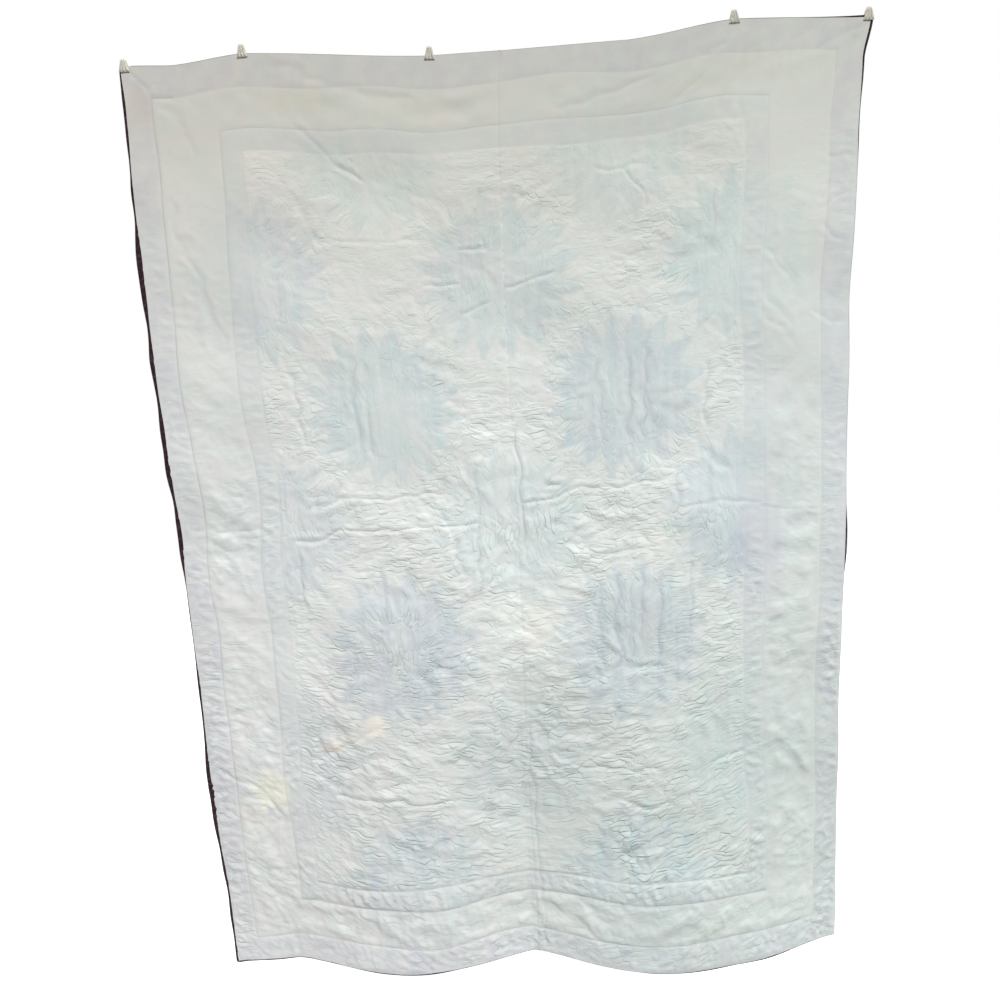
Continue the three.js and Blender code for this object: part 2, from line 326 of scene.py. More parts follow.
def star_place(across, down):
    """Distance and angle from the nearest star's middle, how far off a point's axis, and its number."""
    falling, rising = block_place(across, down)
    number = STAR_NUMBERS[0] * np.floor(falling) + STAR_NUMBERS[1] * np.floor(rising)
    falling = 2 * (falling % 1) - 1
    rising = 2 * (rising % 1) - 1
    off_across = HALF_PITCH * (falling + rising) / 2
    off_down = HALF_PITCH * (falling - rising) / 2
    angle = np.arctan2(off_down, off_across)
    turn = angle * STAR_POINTS / (2 * np.pi) + 0.5
    return np.hypot(off_across, off_down), angle, 2 * np.abs(turn - np.round(turn)), number


def star_rim_at(off_axis):
    """How far a star reaches at a place off a point's axis, along straight sides."""
    off_angle = off_axis * POINT_HALF_ANGLE
    sides = STAR_TIP * np.sin(off_angle) + STAR_VALLEY * np.sin(POINT_HALF_ANGLE - off_angle)
    return STAR_TIP * STAR_VALLEY * math.sin(POINT_HALF_ANGLE) / sides


class SewnCloth:
    """Where the seams and stars lie on a grid of cloth, whose sewing wanders, and how they pucker it."""

    def __init__(self, across, down, puckers):
        self.puckers = puckers
        self.near_rim = eased(np.minimum(across, WIDTH - across) / RIM_FADE)
        self.near_rim = self.near_rim * eased(np.minimum(down, HEIGHT - down) / RIM_FADE)
        self.across = across + SEWING_WANDER * puckers.soft(SEWING_WANDER_SIZE)
        self.down = down + SEWING_WANDER * puckers.soft(SEWING_WANDER_SIZE)
        self.low = eased((self.down / HEIGHT - LOW_FROM) / LOW_FADE)
        from_side = np.minimum(self.across, WIDTH - self.across)
        from_end = np.minimum(self.down, HEIGHT - self.down)
        self.seams = np.stack([
            np.minimum(from_side - row["at_sides"], from_end - row["at_ends"])
            for row in table_rows(SEAM_FRAMES)
        ])
        nearest = np.abs(self.seams).argmin(axis=0)
        self.nearest_seam = np.take_along_axis(self.seams, nearest[None], axis=0)[0]
        self.from_seam = np.abs(self.nearest_seam)
        self.in_field = self.seams[2] > 0
        self.in_middle_border = (self.seams[0] > 0) & (self.seams[1] < 0)
        self.is_at_side = from_side - FIELD_AT_SIDES < from_end - FIELD_AT_ENDS
        self.is_left = self.across < WIDTH / 2
        self.is_top = self.down < HEIGHT / 2
        self.radius, self.angle, self.off_axis, self.star_number = star_place(self.across, self.down)
        self.gap_radius = star_place(self.across + HALF_PITCH, self.down)[0]
        self.rim = star_rim_at(self.off_axis)

    def top_to_hem(self, at_top, at_hem):
        """A value that changes from the top to the hem."""
        return at_top + (at_hem - at_top) * self.low

    def seam_grooves(self):
        """How deep the border seams' grooves are, as shares of the full depth."""
        grooves = 0
        for row, seam in zip(table_rows(SEAM_FRAMES), self.seams):
            depth_at_side = np.where(self.is_left, row["left"], row["right"])
            depth_at_end = np.where(self.is_top, row["top"], row["bottom"])
            depth = np.where(self.is_at_side, depth_at_side, depth_at_end)
            grooves = np.maximum(grooves, depth * fading(seam, SEAM_REACH))
        return grooves

    def star_lines(self):
        """How deep the grooves are round the stars and between their points."""
        from_point_seam = self.radius * np.sin((1 - self.off_axis) * POINT_HALF_ANGLE)
        is_on_points = (self.radius > STAR_HUB) & (self.radius < self.rim)
        from_line = np.where(is_on_points, from_point_seam, 1)
        from_line = np.minimum(from_line, np.abs(self.radius - self.rim) * STAR_SIDE_SLANT)
        return fading(from_line, STAR_LINE_REACH) * self.in_field * self.top_to_hem(1, STAR_LINES_AT_HEM)

    def ridge_way(self, lean):
        """The way that the ridges run, as the cosine and sine of its doubled angle."""
        off_hub = 1 - PULL_LOST_IN_MIDDLE * fading(self.radius, HUB_REACH, 2)
        around = self.in_field * fading(self.radius, ROUND_REACH, 4) * self.top_to_hem(*ROUND_PULL) * off_hub
        in_middle = self.in_field * fading(self.radius, UPRIGHT_REACH, 4)
        upright = in_middle * self.top_to_hem(*UPRIGHT_PULL)
        level = np.where(self.in_field, self.top_to_hem(*LEVEL_PULL), LEVEL_PULL_IN_BORDERS)
        level = level * (1 - PULL_LOST_IN_MIDDLE * in_middle)
        level_lean = lean * np.where(self.in_field, self.low, LEAN_IN_BORDERS)
        off_seam = np.where(self.is_at_side, SEAM_PULL, -SEAM_PULL) * fading(self.from_seam, SEAM_PULL_REACH)
        off_seam = np.where(self.in_field, 0, off_seam)
        off_join = fading(self.across - SEAM_AT, JOIN_PULL_REACH)
        way_across = around * np.cos(2 * self.angle) - upright + off_seam + off_join
        way_across = way_across + level * np.cos(level_lean)
        way_down = around * np.sin(2 * self.angle) + level * np.sin(level_lean)
        way_across = way_across + WAY_WANDER * self.puckers.soft(WAY_WANDER_SIZE)
        way_down = way_down + WAY_WANDER * self.puckers.soft(WAY_WANDER_SIZE)
        return way_across, way_down

    def border_fold_strength(self):
        """How strongly the middle border swings in folds, which grow towards the hem."""
        growth = eased((self.down / HEIGHT - BORDER_FOLDS_FROM) / BORDER_FOLDS_GROWTH)
        at_sides = np.where(self.is_top | self.is_left, FOLDS_AT_SIDES, FOLDS_AT_LOWER_RIGHT)
        strength = np.where(self.is_at_side, at_sides, FOLDS_AT_ENDS)
        clear_of_seams = self.in_middle_border * eased(self.from_seam / BORDER_FOLD_FADE)
        return clear_of_seams * (BORDER_FOLDS_AT_TOP + growth) * strength

    def quilted(self):
        """How far the quilting puffs the cloth out, and the fields that its finer creases follow."""
        puckers = self.puckers
        u = self.across / WIDTH
        v = self.down / HEIGHT
        lean = 2 * table_value(RIDGE_LEAN, "angle", u)
        way = self.ridge_way(lean)
        broad = puffed(puckers.ridges(way, **BROAD_RIDGES), BROAD_PUFF)
        narrow = puffed(puckers.ridges(way, **NARROW_RIDGES), NARROW_PUFF)
        swags = puckers.ridges(way, **SWAGS)
        border_folds = puckers.ridges((np.cos(lean), np.sin(lean)), **BORDER_FOLDS)
        patchy = np.clip(1 + PATCHINESS * puckers.soft(PATCH_SIZE), *PATCH_LIMITS)
        in_middle_border = (1 - u) * MIDDLE_BORDER_PUFF_LEFT + u * MIDDLE_BORDER_PUFF_RIGHT
        in_borders = np.where(self.in_middle_border, in_middle_border, OTHER_BORDERS_PUFF)
        in_borders = in_borders * table_value(STRENGTH_DOWN, "in_borders", v)
        strength = np.where(self.in_field, table_value(STRENGTH_DOWN, "in_field", v), in_borders) * patchy
        in_star = eased((self.rim - self.radius) / STAR_EDGE_SOFTNESS + 0.5) * self.in_field
        fine = strength * (1 - STAR_SMOOTHING * in_star * (1 - self.low))
        gap = fading(self.gap_radius, GAP_REACH, 2) * self.in_field
        seam_grooves = self.seam_grooves()
        relief = fine * (BROAD_DEPTH * broad + (NARROW_DEPTH + GAP_DEPTH * gap) * narrow)
        relief = relief * (1 - SEAM_FLATTENING * fading(self.from_seam, SEAM_FLAT_REACH))
        relief = relief + fine * self.in_field * eased(self.seams[2] / SWAG_FADE) * SWAG_DEPTH * swags
        relief = relief + self.border_fold_strength() * BORDER_FOLD_DEPTH * border_folds
        relief = relief - SEAM_DEPTH * seam_grooves - STAR_LINE_DEPTH * self.star_lines()
        relief = relief + strength * SLACK_DEPTH * puckers.soft(SLACK_SIZE)
        crumples = fine * self.near_rim * eased(self.from_seam / SEAM_FLAT_REACH)
        crumples = crumples * np.where(self.in_field, 1, CRUMPLES_IN_BORDERS)
        stippling = fading(self.gap_radius, STIPPLING_REACH, 2) * self.in_field
        star_radius = np.where(self.in_field, self.radius, FAR_FROM_STARS)
        star_turn = self.angle + self.star_number
        fields = {
            "sewing": together(self.across, self.down, crumples),
            "seams": together(self.nearest_seam, seam_grooves, stippling),
            "star_places": together(np.cos(star_turn), np.sin(star_turn), star_radius),
        }
        return relief * self.near_rim, fields


FLAT_COORDINATES = "flat"


def mesh_object(name, points, faces, flat=None, fields=None):
    """A smooth mesh from arrays, with its places on the flat cloth as texture coordinates."""
    mesh = bpy.data.meshes.new(name)
    mesh.from_pydata(points.reshape(-1, 3).tolist(), [], np.asarray(faces).tolist())
    for field, values in (fields or {}).items():
        attribute = mesh.attributes.new(field, "FLOAT_VECTOR", "POINT")
        attribute.data.foreach_set("vector", values.astype(np.float32).ravel())
    if flat is not None:
        corners = np.empty(len(mesh.loops), dtype=np.int32)
        mesh.loops.foreach_get("vertex_index", corners)
        places = mesh.uv_layers.new(name=FLAT_COORDINATES)
        places.data.foreach_set("uv", flat.reshape(-1, 2)[corners].astype(np.float32).ravel())
    mesh.shade_smooth()
    thing = bpy.data.objects.new(name, mesh)
    bpy.context.collection.objects.link(thing)
    return thing


def grid_faces(rows, columns, is_backing):
    """Four-sided faces of a grid of points, turned to the backing's side or the far side."""
    first = np.arange(rows * columns).reshape(rows, columns)[:-1, :-1].ravel()
    corners = (0, columns, columns + 1, 1) if is_backing else (0, 1, columns + 1, columns)
    return first[:, None] + np.array(corners)


def cloth_object(name, points, across, down, fields, is_backing):
    """A piece of cloth from a grid of points and their places on the flat cloth."""
    faces = grid_faces(*across.shape, is_backing)
    return mesh_object(name, points, faces, together(across, down), fields)


class Wire:
    """A socket of a material's nodes; arithmetic on it adds Math nodes."""

    def __init__(self, tree, socket):
        self.tree = tree
        self.socket = socket

    def node(self, kind, settings, sockets, output=0):
        """Any node: its settings are set first, then a value or a wire for each socket."""
        made = self.tree.nodes.new(kind)
        for name, value in settings.items():
            setattr(made, name, value)
        for name, value in sockets.items():
            if isinstance(value, Wire):
                self.tree.links.new(value.socket, made.inputs[name])
            else:
                made.inputs[name].default_value = value
        return Wire(self.tree, made.outputs[output])

    def math(self, operation, *others):
        """A Math node on this wire and other values."""
        values = dict(enumerate((self, *others)))
        return self.node("ShaderNodeMath", {"operation": operation}, values)

    def vector(self, operation, *others, output=0):
        """A Vector Math node on this wire and other vectors."""
        values = dict(enumerate((self, *others)))
        return self.node("ShaderNodeVectorMath", {"operation": operation}, values, output)

    def __add__(self, other):
        return self.math("ADD", other)

    def __sub__(self, other):
        return self.math("SUBTRACT", other)

    def __rsub__(self, other):
        return self.node("ShaderNodeMath", {"operation": "SUBTRACT"}, {0: other, 1: self})

    def __mul__(self, other):
        return self.math("MULTIPLY", other)

    def __truediv__(self, other):
        return self.math("DIVIDE", other)

    def __rtruediv__(self, other):
        return self.node("ShaderNodeMath", {"operation": "DIVIDE"}, {0: other, 1: self})

    def __mod__(self, other):
        return self.math("FLOORED_MODULO", other)

    __radd__ = __add__
    __rmul__ = __mul__

    def ramp(self, start, end):
        """Eased from 0 at start to 1 at end."""
        sockets = {"Value": self, "From Min": start, "From Max": end}
        return self.node("ShaderNodeMapRange", {"interpolation_type": "SMOOTHSTEP"}, sockets)

    def line(self, width):
        """One where this wire is zero, falling off on both sides."""
        return (self.math("ABSOLUTE") / -width).math("EXPONENT")

    def mix(self, colour, other):
        """One colour where this wire is 0 and the other where it is 1."""
        return self.node("ShaderNodeMix", {"data_type": "RGBA"}, {0: self, 6: colour, 7: other}, 2)

    def tinted(self, tint, amount=1.0):
        """This colour multiplied by a tint."""
        settings = {"data_type": "RGBA", "blend_type": "MULTIPLY"}
        return self.node("ShaderNodeMix", settings, {0: amount, 6: self, 7: tint}, 2)

    def noise(self, scale, detail=2.0, dimensions="2D"):
        """Noise between 0 and 1 over this wire's places."""
        sockets = {"Vector": self, "Scale": scale, "Detail": detail}
        return self.node("ShaderNodeTexNoise", {"noise_dimensions": dimensions}, sockets)

    def stretched(self, across, down):
        """This wire's places, stretched by two factors."""
        return self.vector("MULTIPLY", (across, down, 1))

    def chosen(self, places, others):
        """The other places where this wire is above zero."""
        sockets = {0: self.math("GREATER_THAN", 0.0), 4: places, 5: others}
        return self.node("ShaderNodeMix", {"data_type": "VECTOR"}, sockets, 1)

    def beside(self, other):
        """Places that have this wire across and the other one down."""
        return self.node("ShaderNodeCombineXYZ", {}, {"X": self, "Y": other})

    def parts(self):
        """The three values of this wire."""
        parts = self.node("ShaderNodeSeparateXYZ", {}, {"Vector": self})
        return parts, parts.output("Y"), parts.output("Z")

    def output(self, name):
        """Another output of this wire's node."""
        return Wire(self.tree, self.socket.node.outputs[name])

    def field(self, name):
        """A field of three values that is kept with the mesh."""
        return self.node("ShaderNodeAttribute", {"attribute_name": name}, {}, "Vector")

    def solid_places(self):
        """Places in the round, measured from the object's origin."""
        return self.node("ShaderNodeTexCoord", {}, {}, "Object")

    def into(self, shader, socket):
        """Links this wire to a shader's socket."""
        self.tree.links.new(self.socket, shader.inputs[socket])


def colour(red, green, blue):
    """A screen colour, with white at 255, as the renderer's linear colour; a tint may go above white."""
    return tuple((part / 255) ** 2.2 for part in (red, green, blue)) + (1.0,)


def new_material(name):
    """A material, its shader, and a wire that carries the texture coordinates."""
    material = bpy.data.materials.new(name)
    material.use_nodes = True
    tree = material.node_tree
    coordinates = tree.nodes.new("ShaderNodeUVMap")
    coordinates.uv_map = FLAT_COORDINATES
    return material, tree.nodes["Principled BSDF"], Wire(tree, coordinates.outputs[0])


THREAD_PITCH = 0.0009
THREAD_HEIGHT = 0.00003
SLUBS = (700, 90)
SLUB_HEIGHT = 0.00009


def weave(flat, across, down):
    """Height of a plain weave with thicker threads here and there."""
    turns = 2 * math.pi / THREAD_PITCH
    threads = (across * turns).math("SINE") * (down * turns).math("SINE")
    return threads * THREAD_HEIGHT + flat.stretched(*SLUBS).noise(1.0, 1.0) * SLUB_HEIGHT


def bumped(height):
    """Normals that follow a height in metres."""
    return height.node("ShaderNodeBump", {}, {"Strength": 1.0, "Distance": 1.0, "Height": height})


def star_pattern(across, down):
    """Distance from a star's middle, how far off a point's axis, and a random number for each block."""
    falling_place, rising_place = block_place(across, down)
    falling = falling_place % 1 * 2 - 1
    rising = rising_place % 1 * 2 - 1
    radius = (falling * falling + rising * rising).math("SQRT") * (HALF_PITCH / math.sqrt(2))
    turn = (falling - rising).math("ARCTAN2", falling + rising) * (STAR_POINTS / (2 * math.pi)) + 0.5
    off_axis = (turn - turn.math("ROUND")).math("ABSOLUTE") * 2
    block = falling_place.math("FLOOR").beside(rising_place.math("FLOOR"))
    return radius, off_axis, block.node("ShaderNodeTexWhiteNoise", {}, {"Vector": block})


def star_rim(off_axis):
    """The reach that star_rim_at gives, worked out by a material's nodes."""
    off_angle = off_axis * POINT_HALF_ANGLE
    sides = off_angle.math("SINE") * STAR_TIP + (POINT_HALF_ANGLE - off_angle).math("SINE") * STAR_VALLEY
    return STAR_TIP * STAR_VALLEY * math.sin(POINT_HALF_ANGLE) / sides


# Crumples that are finer than the mesh: small facets of cloth, laid round the stars or level
FACET_LENGTH = 0.036
FACET_WIDTH = 0.012
FACET_HEIGHT = 0.0026
FACET_PUFF = 0.4
FACET_GROOVE = 0.08
FACET_TILT_FADE = 0.12
FACET_WANDER = (2.2, 2.6, 0)
FACET_WANDER_SCALE = 13
FACETS_TO_A_POINT = 4
LEAST_CRUMPLING = 0.60
UNEVEN_CRUMPLING = 0.7
UNEVEN_SCALE = 16
NOISE_SPREAD = (0.3, 0.7)
LEVEL_FROM = 1.05
LEVEL_BELOW = 1.65
LEVEL_SAG = 0.3
ROUND_CRUMPLES = 0.215
ROUND_CRUMPLES_LOST_LOW = 0.19
UPRIGHT_CRUMPLES = 0.140
UPRIGHT_CRUMPLES_LOST_LOW = 0.12
CRUMPLES_RAGGED = 0.05
CRUMPLES_RAGGED_SCALE = 40
CRUMPLES_CHANGE = 0.006
STIPPLING_HEIGHT = 0.0014
STIPPLING_SCALE = 190


def facets(places):
    """Crumpled cells that are each tilted their own way, with narrow grooves between them."""
    nearest, second = (
        places.node(
            "ShaderNodeTexVoronoi",
            {"voronoi_dimensions": "2D", "feature": feature},
            {"Vector": places, "Scale": 1.0},
        )
        for feature in ("F1", "F2")
    )
    from_edge = (second - nearest) / 2
    off_middle = places.vector("SUBTRACT", nearest.output("Position"))
    lean = nearest.output("Color").vector("SUBTRACT", (0.5, 0.5, 0.5))
    tilt = off_middle.vector("DOT_PRODUCT", lean, output="Value")
    return (1 - from_edge.line(FACET_GROOVE)) * FACET_PUFF + tilt * from_edge.ramp(0.0, FACET_TILT_FADE)


def fine_creases(flat, across, down):
    """Height of small crumples, round the stars and level between them, and of stippled quilting."""
    turned_across, turned_down, radius = flat.field("star_places").parts()
    around = turned_down.math("ARCTAN2", turned_across) * (FACETS_TO_A_POINT * STAR_POINTS / (2 * math.pi))
    low = down.ramp(LEVEL_FROM, LEVEL_BELOW)
    off_middle = across - WIDTH / 2
    sagging = down + off_middle * off_middle * low * LEVEL_SAG
    ragged_radius = radius + CRUMPLES_RAGGED * flat.noise(CRUMPLES_RAGGED_SCALE)
    in_round = ROUND_CRUMPLES - ROUND_CRUMPLES_LOST_LOW * low - ragged_radius
    in_upright = UPRIGHT_CRUMPLES - UPRIGHT_CRUMPLES_LOST_LOW * low - ragged_radius
    level_cells = (across / FACET_LENGTH).beside(sagging / FACET_WIDTH)
    round_cells = (radius / FACET_LENGTH).beside(around)
    upright_cells = (down / FACET_LENGTH).beside(across / FACET_WIDTH)
    cells = in_upright.chosen(in_round.chosen(level_cells, round_cells), upright_cells)
    wander = flat.noise(FACET_WANDER_SCALE).output("Color")
    creases = facets(wander.vector("MULTIPLY_ADD", FACET_WANDER, cells))
    from_change = in_round.math("ABSOLUTE").math("MINIMUM", in_upright.math("ABSOLUTE"))
    uneven = LEAST_CRUMPLING + UNEVEN_CRUMPLING * flat.noise(UNEVEN_SCALE).ramp(*NOISE_SPREAD)
    creases = creases * (uneven * from_change.ramp(0.0, CRUMPLES_CHANGE))
    stippling = flat.noise(STIPPLING_SCALE, 1.0) * flat.field("seams").parts()[2]
    return creases * FACET_HEIGHT + stippling * STIPPLING_HEIGHT


def border_masks(across, down, softness):
    """Masks of the outer border, the inner border and the field of stars."""
    from_side = across.math("MINIMUM", WIDTH - across)
    from_end = down.math("MINIMUM", HEIGHT - down)
    in_outer_seam, in_inner_seam, in_field = (
        from_side.ramp(row["at_sides"] - softness, row["at_sides"] + softness)
        * from_end.ramp(row["at_ends"] - softness, row["at_ends"] + softness)
        for row in table_rows(SEAM_FRAMES)
    )
    return 1 - in_outer_seam, in_inner_seam - in_field, in_field


FRONT_COLUMNS = 276
FRONT_ROWS = 356
FRONT_SEED = 41
FRONT_CREAM = colour(214, 204, 182)
FRONT_CREAM_FADED = colour(226, 219, 203)
FRONT_BLUE = colour(58, 76, 124)
FRONT_LAVENDER = colour(132, 112, 158)
FRONT_PALE_BLUE = colour(150, 170, 202)
FRONT_BURGUNDY = colour(84, 30, 42)
FRONT_BURGUNDY_DARK = colour(64, 20, 34)
SEAM_SOFTNESS = 0.0006
RING_AT_TIPS = 0.055
RING_AT_VALLEYS = 0.105
PRINT_DOTS = 0.6
PRINT_DOT_SCALE = 420

front_across, front_down = flat_grid(FRONT_COLUMNS, FRONT_ROWS)
front_middle = hung(front_across, front_down)
front_puckers = Puckers(front_across.shape, FRONT_SEED)
front_relief, front_fields = SewnCloth(front_across, front_down, front_puckers).quilted()
front_lift = np.maximum(HALF_THICKNESS + front_relief, LEAST_HALF_THICKNESS)
front_points = front_middle - grid_facing(front_middle) * front_lift[..., None]
front = cloth_object("pieced_front", front_points, front_across, front_down, front_fields, False)

front_cotton, shader, flat = new_material("pieced_front_cottons")
across, down, strength = flat.field("sewing").parts()
outer, inner, field = border_masks(across, down, SEAM_SOFTNESS)
radius, off_axis, block_number = star_pattern(across, down)
ring = RING_AT_TIPS + (RING_AT_VALLEYS - RING_AT_TIPS) * off_axis
in_points, in_ring, in_hub = (
    (reach - radius).ramp(-SEAM_SOFTNESS, SEAM_SOFTNESS) * field
    for reach in (star_rim(off_axis), ring, STAR_HUB)
)
cream = flat.noise(9).mix(FRONT_CREAM, FRONT_CREAM_FADED)
print_dots = PRINT_DOTS * flat.noise(PRINT_DOT_SCALE, 0.0).ramp(0.50, 0.68)
star_colour = print_dots.mix(block_number.mix(FRONT_BLUE, FRONT_LAVENDER), FRONT_PALE_BLUE)
patches = in_points.mix(cream, star_colour)
patches = in_ring.mix(patches, FRONT_PALE_BLUE)
patches = in_hub.mix(patches, cream)
patches = inner.mix(patches, print_dots.mix(FRONT_BLUE, FRONT_PALE_BLUE))
patches = outer.mix(patches, flat.noise(150).mix(FRONT_BURGUNDY, FRONT_BURGUNDY_DARK))
patches.into(shader, "Base Color")
(0.82 + 0.14 * flat.noise(60)).into(shader, "Roughness")
bumped(weave(flat, across, down) + strength * fine_creases(flat, across, down)).into(shader, "Normal")
front.data.materials.append(front_cotton)

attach(front, "root")
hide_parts("quilt")


# The backing
# Two lengths of old white cotton sheeting, joined by an upright seam and yellowed in places, with painted
# shade that darkens them towards the top and the hem.
# They are laid behind the batting, quilted through, and face the viewer as the quilt hangs.
BACKING_COLUMNS = 392
BACKING_ROWS = 500
BACKING_SEED = 7
SEAM_COLUMN = 199
SEAM_GROOVE = 0.0007
SEAM_GROOVE_REACH = 0.003
SEAM_LAP = 0.0005
SEAM_LAP_WIDTH = 0.016
CREASE_LIP = 0.5
CREASE_LIP_AT = 1.7
CREASE_END_FADE = 4
CREASE_WANDER = 0.7
CREASE_WANDER_SIZE = 0.02
CREASE_SHARPNESS = 0.25
DEEP_CREASE = 0.002
SHARP_CREASE_REACH = 0.006
SHARP_CREASE_FADE = 1.6
FAR_FROM_CREASES = 9.0
MILLIMETRE = 0.001
# The main creases: where each starts and ends on the flat cloth, then its depth and its reach in millimetres
CREASES = [
    ((0.01, 0.01), (0.06, 0.06), 0.6, 6),
    ((0.08, 0.08), (0.15, 0.2), 0.6, 12),
    ((0.08, 0.3), (0.16, 0.6), 1.2, 13),
    ((0.11, 0.48), (0.18, 0.66), 1.2, 12),
    ((0.33, 0.02), (0.46, 0.055), 0.7, 10),
    ((0.46, 0.07), (0.66, 0.1), 0.4, 10),
    ((0.38, 0.155), (0.475, 0.235), 0.7, 7),
    ((0.475, 0.235), (0.525, 0.275), 1.8, 5),
    ((0.34, 0.26), (0.42, 0.41), 0.8, 8),
    ((1.19, 0.09), (0.97, 0.13), 0.6, 7),
    ((1.3, 0.09), (1.235, 0.155), 0.6, 7),
    ((1.645, 0.02), (1.54, 0.065), 0.6, 8),
    ((1.35, 0.05), (1.28, 0.06), 0.5, 7),
    ((1.06, 0.27), (1.17, 0.275), 1, 5),
    ((1.13, 0.28), (1.17, 0.37), 1.6, 6),
    ((0.845, 0.52), (0.965, 0.495), 1.6, 5),
    ((0.74, 0.43), (0.805, 0.43), 1.6, 5),
    ((0.655, 0.506), (0.74, 0.506), 1.6, 5),
    ((0.74, 0.57), (0.805, 0.55), 1.4, 5),
    ((1.06, 0.7), (1.045, 0.9), 3, 9),
    ((1.13, 0.7), (1.125, 0.88), 2.8, 7),
    ((1.175, 0.66), (1.16, 0.88), 3.2, 8),
    ((1.335, 0.36), (1.33, 0.49), 1.4, 6),
    ((1.315, 0.74), (1.31, 0.89), 2.4, 8),
    ((0.45, 0.41), (0.66, 0.405), 0.8, 4),
    ((0.475, 0.69), (0.475, 0.88), 2, 7),
    ((1.045, 1.21), (1.05, 1.42), 2.8, 8),
    ((1.09, 1.2), (1.08, 1.4), 2, 7),
    ((1.15, 1.19), (1.145, 1.36), 2.6, 8),
    ((1.19, 1.22), (1.185, 1.43), 2.2, 7),
    ((1.44, 1.075), (1.58, 1.085), 0.8, 4),
    ((0.04, 1.05), (0.21, 1.06), 1.4, 6),
    ((0.285, 1.1), (0.41, 1.075), 2.4, 5),
    ((0.41, 1.075), (0.75, 1.06), 2.2, 5),
    ((0.325, 1.02), (0.41, 1), 1.6, 5),
    ((0.41, 1), (0.66, 0.985), 1.8, 5),
    ((0.44, 1.17), (0.57, 1.14), 1.6, 5),
    ((0.86, 1.02), (0.995, 0.99), 2.2, 5),
    ((0.995, 0.99), (1.24, 0.99), 1.8, 5),
    ((1.245, 1.06), (1.44, 1.065), 1.2, 5),
    ((0.92, 0.965), (0.955, 0.975), 2.8, 6),
    ((1.02, 1.155), (1.195, 1.145), 1.8, 5),
    ((1.31, 0.94), (1.36, 0.99), 2.2, 8),
    ((1.455, 0.46), (1.525, 0.57), 1, 8),
    ((1.495, 0.5), (1.535, 0.56), 0.8, 7),
    ((1.44, 0.56), (1.515, 0.67), 1, 9),
    ((1.45, 0.63), (1.52, 0.7), 0.8, 9),
    ((1.59, 0.29), (1.64, 0.3), 0.7, 6),
    ((1.575, 0.4), (1.64, 0.37), 0.7, 6),
    ((1.58, 0.44), (1.64, 0.47), 0.8, 7),
    ((1.575, 0.62), (1.64, 0.66), 0.8, 7),
    ((0.33, 0.7), (0.335, 0.87), 1.8, 8),
    ((0.495, 0.79), (0.5, 0.9), 2, 6),
    ((0.852, 0.85), (0.856, 1.11), 3, 6),
    ((0.665, 1.03), (0.7, 1.18), 2.2, 8),
    ((0.75, 0.94), (0.74, 1.24), 2.2, 7),
    ((0.495, 1.17), (0.51, 1.28), 2.2, 7),
    ((0.29, 1.11), (0.3, 1.25), 1.8, 6),
    ((1.26, 1.19), (1.258, 1.33), 2, 7),
    ((1.235, 0.98), (1.232, 1.11), 2.2, 8),
    ((0.345, 1.71), (0.65, 1.725), 3.2, 6),
    ((0.49, 1.53), (0.335, 1.61), 1.2, 5),
    ((0.9, 1.65), (1.185, 1.655), 2.4, 6),
    ((1.4, 1.635), (1.31, 1.665), 2, 6),
    ((1.48, 1.63), (1.57, 1.72), 4, 10),
    ((1.08, 1.74), (1.21, 1.75), 3, 6),
    ((1.1, 1.42), (1.2, 1.42), 2.6, 6),
    ((1.035, 1.33), (1.08, 1.415), 1.8, 7),
    ((0.93, 2.04), (1.06, 2.1), 2, 10),
    ((0.215, 2.12), (0.32, 2.085), 2.2, 9),
    ((0.02, 1.64), (0.12, 1.685), 2, 7),
    ((0.12, 1.685), (0.185, 1.765), 2.2, 6),
    ((0.12, 1.94), (0.195, 2.01), 1.8, 10),
    ((0.165, 2.03), (0.275, 1.98), 2, 10),
    ((0.852, 1.55), (0.86, 2.12), 1.4, 5),
]
# How much of each star shows through, and how purple it is, row by row from the top
STARS_SHOWN = [
    {"shown": [0.5, 0.5], "purple": [0.0, 0.3]},
    {"shown": [0.75, 0.7, 0.75], "purple": [0.5, 0.3, 0.1]},
    {"shown": [0.75, 0.85], "purple": [0.15, 0.5]},
    {"shown": [0.65, 0.55, 0.85], "purple": [0.6, 0.2, 0.5]},
    {"shown": [0.95, 0.85], "purple": [0.75, 0.6]},
    {"shown": [0.4, 0.45, 0.5], "purple": [0.5, 0.35, 0.0]},
    {"shown": [0.9, 0.8], "purple": [0.45, 0.35]},
]
SHOWN_IN_HUB = 0.65
SHOWN_MORE_OFF_HUB = 0.20
SHOWN_HUB = 0.02
SHOWN_HUB_FADE = 0.08
HALO = 0.15
HALO_REACH = 0.25
HALO_FADE = 0.11
SHOWN_EDGE = 0.008
SHOWN_EDGE_GROWTH = 0.030
RAGGED_FROM = 0.9
RAGGED_FADE = 0.7
RAGGED_AT_TOP = 0.4
RAGGED_ACROSS = 0.0040
RAGGED_DOWN = 0.0070
RAGGED_SIZE = 0.009
# Painted shade: the backing is darker and a little warmer at the top, and darker at the hem, most at its
# right, than in the middle.
BACKING_SHADED_AT_TOP = colour(224, 224, 215)
BACKING_AT_MIDDLE = colour(242, 247, 244)
BACKING_SHADED_AT_LEFT_HEM = colour(233, 237, 235)
BACKING_SHADED_AT_RIGHT_HEM = colour(225, 232, 228)
FIELD_GLOW = colour(260, 260, 260)
SHOWN_TEAL = colour(232, 244, 248)
SHOWN_PURPLE = colour(233, 238, 247)
BLOTCH_PINK = colour(256.5, 254.5, 255)
BLOTCH_GREEN = colour(253.5, 255.5, 254.5)
LEFT_WARMTH = colour(256, 254, 253)
RIGHT_GREEN = colour(254, 256, 255)
SHOWN_INNER = colour(249, 251, 254)
SHOWN_BURGUNDY = colour(246, 245, 252)
